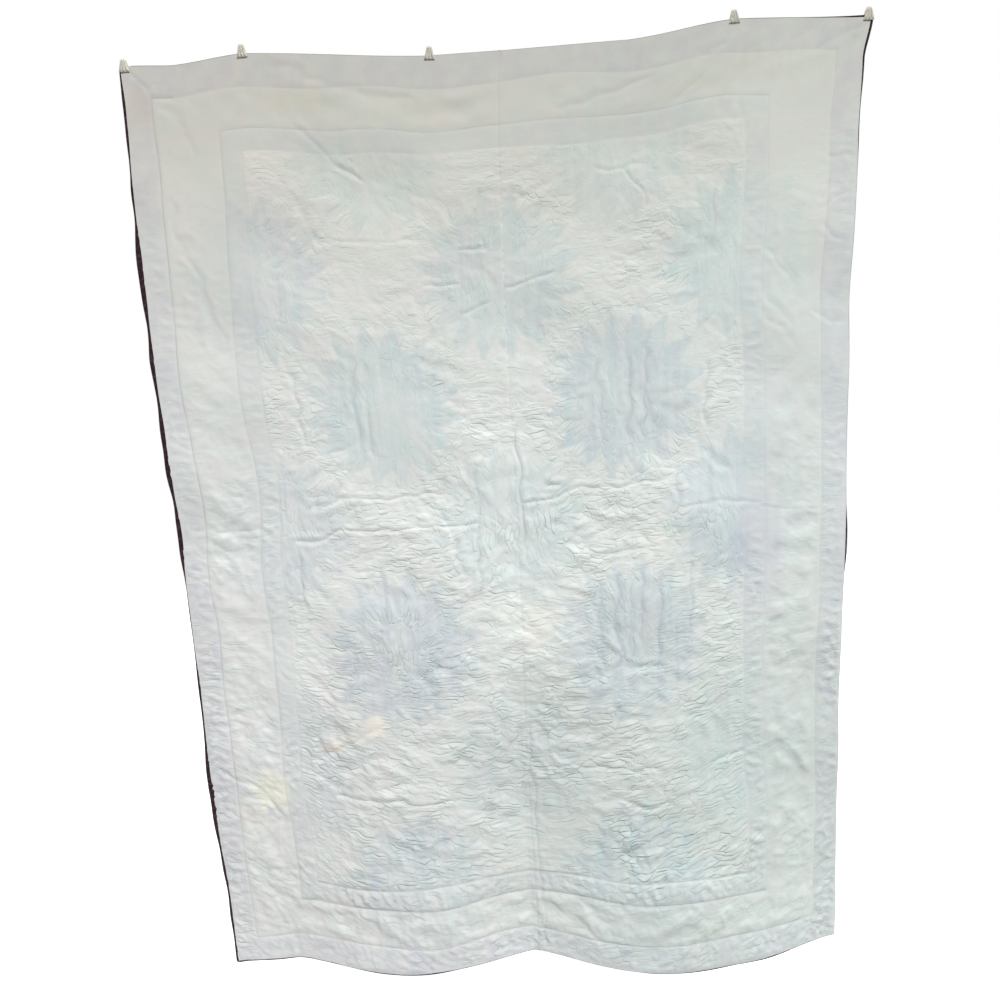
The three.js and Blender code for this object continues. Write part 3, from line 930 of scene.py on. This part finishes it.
# Painted shade: thin darker lines along the border seams' grooves and the creases' bottoms, strongest on
# upright creases.
SEAM_SHADE = colour(205, 203, 203)
SEAM_SHADE_STRENGTH = 0.8
SEAM_SHADE_WIDTH = 0.0012
SEAM_LINE_DEPTH = 0.0005
CREASE_SHADE = colour(236, 236, 240)
CREASE_SHADE_WIDTH = 0.5
CREASE_LINE_WIDTH = 0.3
WHIP_STITCH_PALE = colour(283, 282, 280)
WHIP_STITCH_WIDTH = 0.0012
WHIP_STITCHES = (1, 95)
FRAY = 0.014
FRAY_SCALE = 28
FRAYED_SOFTNESS = 0.006
LEFT_TO_RIGHT = (0.2, 1.5)
TOP_TO_MIDDLE = (-0.1, 0.9)
MIDDLE_TO_HEM = (1.0, 1.8)
JOIN_SHOWN_FROM = (0.28, 0.34)
JOIN_SHOWN_TO = (0.80, 0.70)
PATCHES_SCALE = 22
BLOTCH_SCALE = 16
STRIPS = (40, 4)
PURPLE_STRIPS = (30, 6)
SHOWN_EVENLY = 0.45
SHOWN_PATCHILY = 0.35
SHOWN_IN_STRIPS = 0.45
SHOWN_PAST_FIELD = 0.4
BORDERS_SHOWN_EVENLY = 0.3
STAIN_UNEVENNESS = 0.25
STAIN_UNEVENNESS_SIZE = 0.008
STAIN_UNEVENNESS_LIMITS = (0.4, 1.8)
STAIN_EDGE = 1.2
# Stains, and patches that are only lighter or darker: the middle, the reach across and down, and the tint,
# in which 255 changes nothing
STAINS = [
    ((0.345, 1.59), (0.04, 0.018), (274, 264, 255)),
    ((0.4, 1.565), (0.042, 0.02), (272, 264, 256)),
    ((0.455, 1.535), (0.038, 0.03), (276, 267, 258)),
    ((0.165, 1.7), (0.064, 0.055), (275, 272, 257)),
    ((0.1, 1.76), (0.05, 0.05), (260, 257, 254)),
    ((1.55, 0.3), (0.22, 0.35), (263, 263, 263)),
    ((0.18, 1.5), (0.2, 0.4), (264, 264, 265)),
    ((1.15, 1.95), (0.3, 0.07), (263, 263, 264)),
    ((1.43, 1.18), (0.08, 0.18), (250, 247, 252)),
    ((0.83, 0.78), (0.15, 0.15), (264, 263, 263)),
    ((0.83, 1.18), (0.22, 0.3), (263, 263, 263)),
    ((1.46, 0.8), (0.14, 0.18), (250, 250, 251)),
    ((0.89, 1.31), (0.06, 0.07), (261, 258, 255)),
    ((1.18, 1.135), (0.05, 0.04), (266, 263, 260)),
    ((0.81, 1.27), (0.05, 0.09), (264, 263, 262)),
    ((0.15, 1.16), (0.14, 0.08), (261, 261, 262)),
    ((0.4, 0.1), (0.11, 0.03), (253, 251, 247)),
    ((0.62, 0.12), (0.14, 0.04), (259, 257, 254)),
    ((1.27, 0.12), (0.1, 0.03), (253, 252, 249)),
    ((0.035, 0.085), (0.03, 0.06), (252, 247, 246)),
]


def creased(across, down, wander):
    """Troughs along wandering lines with raised lips, and the fields that draw their sharp bottoms.

    The fields are how far beside the nearest crease a place is, counted in that crease's reach, how deep
    the crease is there, and how shaded, which is most for upright creases.
    """
    relief = np.zeros_like(across)
    nearest = np.full_like(across, FAR_FROM_CREASES)
    depth = np.zeros_like(across)
    shade = np.zeros_like(across)
    for start, end, full_depth, reach in CREASES:
        full_depth = full_depth * MILLIMETRE
        reach = reach * MILLIMETRE
        length = math.dist(start, end)
        run = (np.array(end) - start) / length
        off_across = across - start[0]
        off_down = down - start[1]
        along = off_across * run[0] + off_down * run[1]
        beside = (off_down * run[0] - off_across * run[1]) / reach + wander
        end_fade = CREASE_END_FADE * reach
        ends = eased(along / end_fade + 0.5) * eased((length - along) / end_fade + 0.5)
        lip = CREASE_LIP * fading(np.abs(beside) - CREASE_LIP_AT, 1, 2)
        relief = relief + full_depth * ends * (lip - fading(beside, 1, 2))
        sharp_depth = full_depth * ends * min(1, SHARP_CREASE_REACH / reach) ** 2
        is_nearer = (np.abs(beside) < np.abs(nearest)) & (ends > 0)
        nearest = np.where(is_nearer, beside, nearest)
        depth = np.where(is_nearer, sharp_depth * fading(beside, SHARP_CREASE_FADE, 2), depth)
        shade = np.where(is_nearer, depth / DEEP_CREASE * np.abs(run[1]), shade)
    return relief, nearest, depth, shade


def star_values(across, down, column):
    """A value of the table of stars at each place, from the star that is nearest."""
    values = np.zeros((2 * BLOCKS_DOWN + 1, 2 * BLOCKS_ACROSS + 1))
    for row, stars in enumerate(STARS_SHOWN):
        values[row, 1 - row % 2 :: 2] = stars[column]
    falling, rising = (np.floor(place).astype(int) for place in block_place(across, down))
    star_row = np.clip(falling - rising, 0, values.shape[0] - 1)
    star_column = np.clip(falling + rising + 1, 0, values.shape[1] - 1)
    return values[star_row, star_column]


def stars_through(across, down, puckers):
    """How strongly each star's colours show, with ragged edges that soften towards the hem."""
    low = eased((down - RAGGED_FROM) / RAGGED_FADE)
    raggedness = RAGGED_AT_TOP + (1 - RAGGED_AT_TOP) * low
    ragged_across = across + RAGGED_ACROSS * raggedness * puckers.soft(RAGGED_SIZE)
    ragged_down = down + RAGGED_DOWN * raggedness * puckers.soft(RAGGED_SIZE)
    radius, _, off_axis, _ = star_place(ragged_across, ragged_down)
    softness = SHOWN_EDGE + SHOWN_EDGE_GROWTH * low
    mask = eased((star_rim_at(off_axis) - radius) / (2 * softness) + 0.5)
    mask = mask * (SHOWN_IN_HUB + SHOWN_MORE_OFF_HUB * eased((radius - SHOWN_HUB) / SHOWN_HUB_FADE))
    mask = mask + HALO * eased((HALO_REACH - radius) / HALO_FADE)
    return mask * star_values(across, down, "shown")


def stain_tints(across, down, puckers):
    """The stains' tints multiplied together at each place, with uneven edges."""
    edges = np.clip(1 + STAIN_UNEVENNESS * puckers.soft(STAIN_UNEVENNESS_SIZE), *STAIN_UNEVENNESS_LIMITS)
    tints = np.ones((*across.shape, 3))
    for place, reach, tint in STAINS:
        off_across = (across - place[0]) / reach[0]
        off_down = (down - place[1]) / reach[1]
        amount = eased(1 - (off_across**2 + off_down**2) * edges / STAIN_EDGE)
        tints = tints * (1 + amount[..., None] * (np.array(colour(*tint)[:3]) - 1))
    return tints


backing_across, backing_down = flat_grid(BACKING_COLUMNS, BACKING_ROWS)
backing_across[:, SEAM_COLUMN] = SEAM_AT
backing_middle = hung(backing_across, backing_down)
from_seam = backing_across - SEAM_AT
seam_relief = SEAM_LAP * eased(from_seam / SEAM_GROOVE_REACH) * eased(2 - from_seam / SEAM_LAP_WIDTH)
seam_relief = seam_relief - SEAM_GROOVE * fading(from_seam, SEAM_GROOVE_REACH, 2)
backing_puckers = Puckers(backing_across.shape, BACKING_SEED)
backing_relief, backing_fields = SewnCloth(backing_across, backing_down, backing_puckers).quilted()
crease_wander = CREASE_WANDER * backing_puckers.soft(CREASE_WANDER_SIZE)
crease_relief, *crease_fields = creased(backing_across, backing_down, crease_wander)
sewn_across, sewn_down, _ = np.moveaxis(backing_fields["sewing"], -1, 0)
stars_shown = stars_through(sewn_across, sewn_down, backing_puckers)
stars_purple = star_values(sewn_across, sewn_down, "purple")
backing_fields["creases"] = together(*crease_fields)
backing_fields["stars_shown"] = together(stars_shown, stars_purple, np.zeros_like(stars_shown))
backing_fields["stain_tints"] = stain_tints(backing_across, backing_down, backing_puckers)
backing_lift = HALF_THICKNESS + backing_relief + seam_relief + crease_relief
backing_lift = np.maximum(backing_lift, LEAST_HALF_THICKNESS)
backing_points = backing_middle + grid_facing(backing_middle) * backing_lift[..., None]
backing_facing = grid_facing(backing_points)

backing_cotton, shader, flat = new_material("backing_cotton_sheeting")
across, down, strength = flat.field("sewing").parts()
nearest_seam, seam_grooves, _ = flat.field("seams").parts()
crease_beside, crease_depth, crease_shade = flat.field("creases").parts()
shown, shown_purple, _ = flat.field("stars_shown").parts()
frayed_across = across + FRAY * (flat.noise(FRAY_SCALE, 3.0) - 0.5)
outer, inner, field = border_masks(frayed_across, down, FRAYED_SOFTNESS)
strips = flat.stretched(*STRIPS).noise(1.0, 3.0).ramp(0.38, 0.64)
patchy = flat.noise(PATCHES_SCALE, 3.0).ramp(*NOISE_SPREAD)
through = shown * (SHOWN_EVENLY + SHOWN_PATCHILY * patchy + SHOWN_IN_STRIPS * strips)
through = through * (SHOWN_PAST_FIELD + (1 - SHOWN_PAST_FIELD) * field)
borders_shown = BORDERS_SHOWN_EVENLY + (1 - BORDERS_SHOWN_EVENLY) * patchy
purple = (shown_purple + flat.stretched(*PURPLE_STRIPS).noise(1.0) - 0.5).ramp(0.1, 0.7)
to_right = across.ramp(*LEFT_TO_RIGHT)
# Painted shade: the ground darkens from the middle towards the top and towards the hem.
ground = down.ramp(*TOP_TO_MIDDLE).mix(BACKING_SHADED_AT_TOP, BACKING_AT_MIDDLE)
ground = down.ramp(*MIDDLE_TO_HEM).mix(ground, to_right.mix(BACKING_SHADED_AT_LEFT_HEM, BACKING_SHADED_AT_RIGHT_HEM))
ground = ground.tinted(to_right.mix(LEFT_WARMTH, RIGHT_GREEN))
ground = ground.tinted(FIELD_GLOW, field)
ground = ground.tinted(flat.noise(BLOTCH_SCALE, 4.0).ramp(0.35, 0.65).mix(BLOTCH_PINK, BLOTCH_GREEN))
ground = ground.tinted(purple.mix(SHOWN_TEAL, SHOWN_PURPLE), through)
ground = ground.tinted(SHOWN_INNER, inner * borders_shown)
ground = ground.tinted(SHOWN_BURGUNDY, outer * borders_shown)
# Painted shade darkens the colour along the seams' grooves and the creases' bottoms.
seam_lines = nearest_seam.line(SEAM_SHADE_WIDTH) * seam_grooves
ground = ground.tinted(SEAM_SHADE, SEAM_SHADE_STRENGTH * seam_lines)
ground = ground.tinted(CREASE_SHADE, crease_beside.line(CREASE_SHADE_WIDTH) * crease_shade)
from_join = flat.parts()[0] - SEAM_AT - WHIP_STITCH_WIDTH
join_shown = down.ramp(*JOIN_SHOWN_FROM) * down.ramp(*JOIN_SHOWN_TO)
whip_stitches = flat.stretched(*WHIP_STITCHES).noise(1.0, 1.0).ramp(0.38, 0.6)
ground = ground.tinted(WHIP_STITCH_PALE, from_join.line(WHIP_STITCH_WIDTH) * whip_stitches * join_shown)
ground = ground.tinted(flat.field("stain_tints"))
ground.into(shader, "Base Color")
(0.86 + 0.1 * flat.noise(60)).into(shader, "Roughness")
main_creases = crease_beside.line(CREASE_LINE_WIDTH) * crease_depth * CREASE_SHARPNESS
crumples = strength * fine_creases(flat, across, down)
height = weave(flat, across, down) + crumples - main_creases - SEAM_LINE_DEPTH * seam_lines
bumped(height).into(shader, "Normal")

BACKING_PANELS = {"backing_left": slice(0, SEAM_COLUMN + 1), "backing_right": slice(SEAM_COLUMN, None)}
for name, columns in BACKING_PANELS.items():
    fields = {field_name: values[:, columns] for field_name, values in backing_fields.items()}
    panel = cloth_object(
        name, backing_points[:, columns], backing_across[:, columns], backing_down[:, columns], fields, True
    )
    panel.data.materials.append(backing_cotton)
    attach(panel, "root")
    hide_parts("quilt")


# The quilting
# White cotton thread in running stitches through the front, the batting and the backing.
# It follows the border seams, the outlines of the stars and the seams between their points.
STITCH_LENGTH = 0.0034
STITCH_SPACING = 0.0066
STITCH_RADIUS = 0.0004
STITCH_LIFT = 0.0003
STITCH_DIP = 0.0006
STITCH_SIDES = 4
JUST_INSIDE = 1.001
THREAD_WHITE = colour(226, 224, 216)
THREAD_SHADE = colour(206, 204, 198)


def frame_path(at_sides, at_ends):
    """The four corners of a frame of seams, closed."""
    right = WIDTH - at_sides
    bottom = HEIGHT - at_ends
    corners = [(at_sides, at_ends), (right, at_ends), (right, bottom), (at_sides, bottom)]
    return np.array(corners + corners[:1])


def star_paths(column, row):
    """A star's outline and the seams between its points."""
    middle = np.array([FIELD_AT_SIDES + column * HALF_PITCH, FIELD_AT_ENDS + row * HALF_PITCH])
    turns = np.arange(2 * STAR_POINTS + 1) * np.pi / STAR_POINTS
    ways = together(np.cos(turns), np.sin(turns))
    reach = np.where(np.arange(len(turns)) % 2, STAR_TIP, STAR_VALLEY)
    outline = middle + ways * reach[:, None]
    seams = [np.array([middle + STAR_HUB * way, middle + STAR_VALLEY * way]) for way in ways[::2]]
    return [outline, *seams]


def stitches_along(path, offset):
    """The two ends of each stitch along a path on the flat cloth."""
    lengths = np.hypot(*np.diff(path, axis=0).T)
    along = np.concatenate([[0], np.cumsum(lengths)])
    starts = np.arange(offset, along[-1] - STITCH_LENGTH, STITCH_SPACING)
    ends = np.stack([starts, starts + STITCH_LENGTH], axis=1)
    return together(np.interp(ends, along, path[:, 0]), np.interp(ends, along, path[:, 1]))


def kept_in_field(ends):
    """The stitches that lie wholly inside the field of stars."""
    low = np.array([FIELD_AT_SIDES, FIELD_AT_ENDS])
    high = np.array([WIDTH, HEIGHT]) - low
    return ends[np.all((ends > low) & (ends < high), axis=(1, 2))]


def quilting_stitches(offset):
    """The stitches along the border seams and the stars."""
    frames = [frame_path(row["at_sides"], row["at_ends"]) for row in table_rows(SEAM_FRAMES)]
    stitches = [stitches_along(path, offset) for path in frames]
    for row in range(2 * BLOCKS_DOWN + 1):
        for column in range(2 * BLOCKS_ACROSS + 1):
            if (row + column) % 2:
                paths = star_paths(column, row)
                stitches.extend(kept_in_field(stitches_along(path, offset)) for path in paths)
    return np.concatenate(stitches)


def on_grid(values, places):
    """Values of a grid at places on the flat cloth."""
    rows, columns = values.shape[:2]
    column = np.clip(places[..., 0] / WIDTH * (columns - 1), 0, columns - JUST_INSIDE)
    row = np.clip(places[..., 1] / HEIGHT * (rows - 1), 0, rows - JUST_INSIDE)
    c = column.astype(int)
    r = row.astype(int)
    share_across = (column - c)[..., None]
    share_down = (row - r)[..., None]
    upper = values[r, c] * (1 - share_across) + values[r, c + 1] * share_across
    lower = values[r + 1, c] * (1 - share_across) + values[r + 1, c + 1] * share_across
    return upper * (1 - share_down) + lower * share_down


def stitch_mesh(name, ends, points, normals, fields):
    """Spindles from below the cloth, up over it and down again, as one mesh that follows the sewing."""
    ends = 2 * ends - on_grid(fields["sewing"][..., :2], ends)
    middle = ends.mean(axis=1)
    facing = on_grid(normals, middle)
    tips = on_grid(points, ends) - STITCH_DIP * facing[:, None]
    crown = on_grid(points, middle) + STITCH_LIFT * facing
    beside = unit(np.cross(tips[:, 1] - tips[:, 0], facing))
    turns = np.arange(STITCH_SIDES) * 2 * np.pi / STITCH_SIDES
    ring = [crown + STITCH_RADIUS * (np.cos(t) * beside + np.sin(t) * facing) for t in turns]
    vertices = np.stack([tips[:, 0], tips[:, 1], *ring], axis=1)
    after = [2 + (k + 1) % STITCH_SIDES for k in range(STITCH_SIDES)]
    faces = [(0, 2 + k, after[k]) for k in range(STITCH_SIDES)]
    faces = faces + [(1, after[k], 2 + k) for k in range(STITCH_SIDES)]
    first = np.arange(len(ends)) * vertices.shape[1]
    return mesh_object(name, vertices, (first[:, None, None] + np.array(faces)).reshape(-1, 3))


thread, shader, flat = new_material("quilting_thread")
places = flat.solid_places()
places.noise(300, dimensions="3D").mix(THREAD_WHITE, THREAD_SHADE).into(shader, "Base Color")
(0.7 + 0.2 * places.noise(500, dimensions="3D")).into(shader, "Roughness")

backing_stitches = stitch_mesh(
    "quilting_on_backing", quilting_stitches(0), backing_points, backing_facing, backing_fields
)
front_facing = -grid_facing(front_points)
front_stitches = stitch_mesh(
    "quilting_on_front", quilting_stitches(STITCH_SPACING / 2), front_points, front_facing, front_fields
)
for stitches in (backing_stitches, front_stitches):
    stitches.data.materials.append(thread)
    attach(stitches, "root")


# The binding
# A narrow strip of dark cotton folded over the four raw edges and sewn down on both faces.
# It rolls to the far side, so the backing's side shows only a thin, uneven line of it.
BINDING_STEP = 0.004
BINDING_GAP = 0.0003
BINDING_HALF = 0.0025
BINDING_WIDTH = 0.003
BINDING_SEED = 23
WOBBLE = 0.25
WOBBLE_LIMITS = (0.5, 1.5)
WOBBLE_STATIONS = 41
BINDING_WIDTHS = {
    "left": {
        "at": [0, 0.05, 0.3, 0.5, 0.55, 0.62, 0.68, 0.9, 1],
        "width": [0.003, 0.006, 0.008, 0.007, 0.002, 0.002, 0.007, 0.008, 0.004],
    },
    "bottom": {
        "at": [0, 0.04, 0.14, 0.2, 0.28, 0.32, 0.38, 0.72, 0.78, 0.95, 1],
        "width": [0.003, 0.003, 0.003, 0.001, 0.003, 0.003, 0.001, 0.001, 0.003, 0.003, 0.002],
    },
    "right": {
        "at": [0, 0.04, 0.1, 0.15, 0.5, 0.53, 0.56, 0.58, 1],
        "width": [0.003, 0.003, 0.002, 0.0005, 0.0005, 0.003, 0.003, 0.0005, 0.0005],
    },
    "top": {
        "at": [0, 0.2, 0.4, 0.7, 0.9, 1],
        "width": [0.001, 0.0005, 0.0005, 0.0005, 0.001, 0.003],
    },
}
BINDING_SECTION = {
    "out": [-0.4, 0.2, 0.75, 1.0, 0.75, 0.0, -0.2],
    "lift": [0.9, 1.0, 0.7, 0.0, -0.7, -1.1, -1.0],
}
BINDING_DARK = colour(44, 22, 32)
BINDING_WORN = colour(84, 58, 66)


def facing_at(across, down):
    """Unit normals of the hung sheet at any places on the flat cloth."""
    near = 0.001
    way_down = hung(across, down + near) - hung(across, down - near)
    way_across = hung(across + near, down) - hung(across - near, down)
    return unit(np.cross(way_down, way_across))


def edge_stations():
    """Places round the quilt's edge, and the way out of the cloth at each."""
    upright = np.arange(0, HEIGHT, BINDING_STEP)
    level = np.arange(0, WIDTH, BINDING_STEP)
    sides = (
        (np.zeros_like(upright), upright, (-1.0, 0.0)),
        (level, np.full_like(level, HEIGHT), (0.0, 1.0)),
        (np.full_like(upright, WIDTH), HEIGHT - upright, (1.0, 0.0)),
        (WIDTH - level, np.zeros_like(level), (0.0, -1.0)),
    )
    places = np.concatenate([together(across, down) for across, down, _ in sides])
    ways = np.concatenate([np.tile(way, (len(across), 1)) for across, _, way in sides])
    before = np.roll(ways, 1, axis=0)
    return places, np.where(np.any(before != ways, axis=1)[:, None], before + ways, ways)


edge, way_out = edge_stations()
is_side = {
    "left": way_out[:, 0] < 0,
    "right": way_out[:, 0] > 0,
    "bottom": way_out[:, 1] > 0,
    "top": way_out[:, 1] < 0,
}
along_side = np.where(is_side["left"] | is_side["right"], edge[:, 1] / HEIGHT, edge[:, 0] / WIDTH)
width = np.zeros(len(edge))
for side, table in BINDING_WIDTHS.items():
    width = np.where(is_side[side], table_value(table, "width", along_side), width)
wobble = np.random.default_rng(BINDING_SEED).standard_normal(len(edge))
wobble = np.concatenate([wobble, wobble[: WOBBLE_STATIONS - 1]])
wobble = np.convolve(wobble, np.hanning(WOBBLE_STATIONS), mode="valid")
width = width * np.clip(1 + WOBBLE * wobble / wobble.std(), *WOBBLE_LIMITS)
rings = []
for row in table_rows(BINDING_SECTION):
    out = BINDING_GAP + width * row["out"]
    across, down = (edge + way_out * out[:, None]).T
    rings.append(hung(across, down) + BINDING_HALF * row["lift"] * facing_at(across, down))
binding_points = np.stack(rings)
binding_points = np.concatenate([binding_points, binding_points[:, :1]], axis=1)
ring_count, station_count = binding_points.shape[:2]
binding_places = together(*np.meshgrid(
    np.arange(station_count) * BINDING_STEP, np.arange(ring_count) * BINDING_WIDTH
))
binding_faces = grid_faces(ring_count, station_count, True)
binding = mesh_object("binding_strip", binding_points, binding_faces, binding_places)

binding_cotton, shader, flat = new_material("binding_cotton_dark")
across, down, _ = flat.parts()
flat.noise(120, 4.0).ramp(0.45, 0.8).mix(BINDING_DARK, BINDING_WORN).into(shader, "Base Color")
(0.8 + 0.15 * flat.noise(90)).into(shader, "Roughness")
bumped(weave(flat, across, down)).into(shader, "Normal")
binding.data.materials.append(binding_cotton)
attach(binding, "root")
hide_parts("binding")


# The clips
# Five small spring clips of pressed, ribbed sheet metal, plated and gone dull, pinched over the top edge.
# Each is two tapered jaws on a cross pin with a coiled spring, and leans a little its own way.
CLIPS = {
    "number": [1, 2, 3, 4, 5],
    "at": [0.0055, 0.165, 0.415, 0.82, 0.996],
    "lean": [-3, -3, 2, -2, 3],
}
CLIP_HEIGHT = 0.028
CLIP_BITE = 0.008
CLIP_MOUTH_WIDTH = 0.024
CLIP_TOP_WIDTH = 0.010
CLIP_WALL = 0.0016
CLIP_INSIDE = 0.0034
CLIP_RIBS = 3
CLIP_RIB_HEIGHT = 0.0018
RIB_FADE_AT_MOUTH = 0.15
RIB_FADE_AT_TOP = 0.2
JAW_COLUMNS = 31
JAW_ROWS = 15
EDGE_ROUNDING = 0.0004
SHARP_EDGE = math.radians(50)
CLIP_PIN_LENGTH = 0.008
CLIP_PIN_RISE = 0.014
CLIP_PIN_RADIUS = 0.0016
PIN_SIDES = 16
PIN_END = 0.0001
SPRING_RADIUS = 0.0026
SPRING_WIRE = 0.0004
SPRING_TURNS = 5
SPRING_STEPS = 14
SPRING_SIDES = 8
SPRING_SHARE = 0.7
SLANTING = (0.3, 0.2, 1.0)
NICKEL = colour(228, 226, 219)
NICKEL_TARNISHED = colour(206, 196, 164)


def jaw_points(is_front):
    """The outer and the inner face of a ribbed jaw, as two grids of points."""
    sideways, up = np.meshgrid(np.linspace(-0.5, 0.5, JAW_COLUMNS), np.linspace(0, 1, JAW_ROWS))
    ribs = 0.5 - 0.5 * np.cos(2 * np.pi * CLIP_RIBS * (sideways + 0.5))
    ribs = ribs * eased(up / RIB_FADE_AT_MOUTH) * eased((1 - up) / RIB_FADE_AT_TOP)
    width = CLIP_MOUTH_WIDTH + (CLIP_TOP_WIDTH - CLIP_MOUTH_WIDTH) * up
    way = -1 if is_front else 1
    x = sideways * width * -way
    z = up * CLIP_HEIGHT - CLIP_BITE
    outer = CLIP_INSIDE + CLIP_WALL + CLIP_RIB_HEIGHT * ribs
    inner = np.full_like(outer, CLIP_INSIDE)
    return np.stack([together(x, way * outer, z), together(x, way * inner, z)])


def jaw_faces(rows, columns):
    """Faces of the outer grid, the inner grid and the rim between them."""
    outer = grid_faces(rows, columns, False)
    count = rows * columns
    inner = grid_faces(rows, columns, True) + count
    grid = np.arange(count).reshape(rows, columns)
    rim = np.concatenate([grid[0, :-1], grid[:-1, -1], grid[-1, :0:-1], grid[:0:-1, 0]])
    after = np.roll(rim, -1)
    walls = np.stack([rim, rim + count, after + count, after], axis=-1)
    return np.concatenate([outer, inner, walls])


def tube(path, radius, sides):
    """Points and faces of a round tube along a path."""
    ways = unit(np.gradient(path, axis=0))
    beside = unit(np.cross(ways, SLANTING))
    other = np.cross(ways, beside)
    turns = (np.arange(sides + 1) * 2 * np.pi / sides)[:, None, None]
    points = path + radius * (np.cos(turns) * beside + np.sin(turns) * other)
    return points.reshape(-1, 3), grid_faces(sides + 1, len(path), True)


nickel, shader, flat = new_material("clip_dull_nickel")
places = flat.solid_places()
places.noise(180, 4.0, "3D").ramp(0.35, 0.75).mix(NICKEL, NICKEL_TARNISHED).into(shader, "Base Color")
shader.inputs["Metallic"].default_value = 0.4
(0.38 + 0.25 * places.noise(260, 3.0, "3D")).into(shader, "Roughness")

half = CLIP_PIN_LENGTH / 2
pin_along = np.array([-half, -half + PIN_END, 0, half - PIN_END, half])
pin_points, pin_faces = tube(together(pin_along, 0 * pin_along, 0 * pin_along), CLIP_PIN_RADIUS, PIN_SIDES)
turns = np.linspace(0, 2 * np.pi * SPRING_TURNS, SPRING_STEPS * SPRING_TURNS)
coil_along = np.linspace(-SPRING_SHARE * half, SPRING_SHARE * half, len(turns))
coil = together(coil_along, SPRING_RADIUS * np.cos(turns), SPRING_RADIUS * np.sin(turns))
coil_points, coil_faces = tube(coil, SPRING_WIRE, SPRING_SIDES)
sprung_points = np.concatenate([pin_points, coil_points]) + (0, 0, CLIP_PIN_RISE)
sprung_faces = np.concatenate([pin_faces, coil_faces + len(pin_points)])

for row in table_rows(CLIPS):
    root = hung(row["at"] * WIDTH, 0.0)
    lean = math.radians(row["lean"])
    cosine = math.cos(lean)
    sine = math.sin(lean)
    turned = np.array([(cosine, 0, sine), (0, 1, 0), (-sine, 0, cosine)])
    pieces = []
    for side in ("front", "back"):
        points = jaw_points(side == "front")
        name = f"clip_{row['number']}_{side}"
        jaw = mesh_object(f"{name}_jaw", points @ turned.T + root, jaw_faces(JAW_ROWS, JAW_COLUMNS))
        bevel = jaw.modifiers.new("rounded_edges", "BEVEL")
        bevel.width = EDGE_ROUNDING
        bevel.segments = 2
        bevel.limit_method = "ANGLE"
        bevel.angle_limit = SHARP_EDGE
        pieces.append((jaw, name))
    name = f"clip_{row['number']}_pin"
    pieces.append((mesh_object(f"{name}_and_spring", sprung_points @ turned.T + root, sprung_faces), name))
    for piece, node in pieces:
        piece.data.materials.append(nickel)
        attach(piece, "root")
        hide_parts(node)


# The studio
# A plain pale floor below the hem, white surroundings, and one wide soft lamp above and to the right.
# The camera is the one that the photo's outline and stars fit.
FLOOR_DEPTH = -2.75
FLOOR_WIDTH = 12.0
FLOOR_FRONT = -0.4
FLOOR_REAR = 9.0
FLOOR_WHITE = colour(250, 250, 249)
FLOOR_GREY = colour(244, 244, 243)
FLOOR_GLOW = 0.5
CAMERA_PLACE = (0.0051, -2.0972, -0.8064)
CAMERA_YAW = math.radians(-1.108)
CAMERA_PITCH = math.radians(5.443)
CAMERA_ROLL = math.radians(-2.906)
CAMERA_LENS = 32.4
CAMERA_SENSOR = 36.0
KEY_ELEVATION = math.radians(46)
KEY_FROM_RIGHT = math.radians(13)
KEY_SOFTNESS = math.radians(22)
KEY_STRENGTH = 2.42
BRIGHT_BEHIND = 1.0
DIM_BEFORE = 0.22
BRIGHT_FROM = -0.3
FULLY_BRIGHT = 0.2

corners = [(-1, FLOOR_FRONT), (1, FLOOR_FRONT), (1, FLOOR_REAR), (-1, FLOOR_REAR)]
floor_points = np.array([(side * FLOOR_WIDTH / 2, away, FLOOR_DEPTH) for side, away in corners])
floor = mesh_object("studio_floor", floor_points, [(0, 1, 2, 3)])
floor_paint, shader, flat = new_material("studio_floor_paint")
flat.solid_places().noise(0.8).mix(FLOOR_WHITE, FLOOR_GREY).into(shader, "Base Color")
shader.inputs["Roughness"].default_value = 0.9
shader.inputs["Emission Color"].default_value = (1, 1, 1, 1)
shader.inputs["Emission Strength"].default_value = FLOOR_GLOW
floor.data.materials.append(floor_paint)

world = bpy.data.worlds.new("studio_surroundings")
bpy.context.scene.world = world
world.use_nodes = True
background = world.node_tree.nodes["Background"]
way = Wire(world.node_tree, world.node_tree.nodes.new("ShaderNodeTexCoord").outputs["Generated"])
behind = way.parts()[1].ramp(BRIGHT_FROM, FULLY_BRIGHT)
(DIM_BEFORE + (BRIGHT_BEHIND - DIM_BEFORE) * behind).into(background, "Color")

key = bpy.data.lights.new("key_lamp", "SUN")
key.angle = KEY_SOFTNESS
key.energy = KEY_STRENGTH
key_lamp = bpy.data.objects.new("key_lamp", key)
bpy.context.collection.objects.link(key_lamp)
key_lamp.rotation_euler = (math.pi / 2 - KEY_ELEVATION, 0, KEY_FROM_RIGHT)

bpy.context.scene.view_settings.view_transform = "Standard"

lens = bpy.data.cameras.new("photo_camera")
lens.lens = CAMERA_LENS
lens.sensor_width = CAMERA_SENSOR
camera = bpy.data.objects.new("photo_camera", lens)
bpy.context.collection.objects.link(camera)
forward = np.array([
    math.sin(CAMERA_YAW) * math.cos(CAMERA_PITCH),
    math.cos(CAMERA_YAW) * math.cos(CAMERA_PITCH),
    -math.sin(CAMERA_PITCH),
])
right = np.array([math.cos(CAMERA_YAW), -math.sin(CAMERA_YAW), 0])
up = np.cross(right, forward)
rolled_right = math.cos(CAMERA_ROLL) * right + math.sin(CAMERA_ROLL) * up
rolled_up = math.cos(CAMERA_ROLL) * up - math.sin(CAMERA_ROLL) * right
turned = Matrix(np.stack([rolled_right, rolled_up, -forward], axis=1).tolist()).to_4x4()
camera.matrix_world = Matrix.Translation(CAMERA_PLACE) @ turned
bpy.context.scene.camera = camera
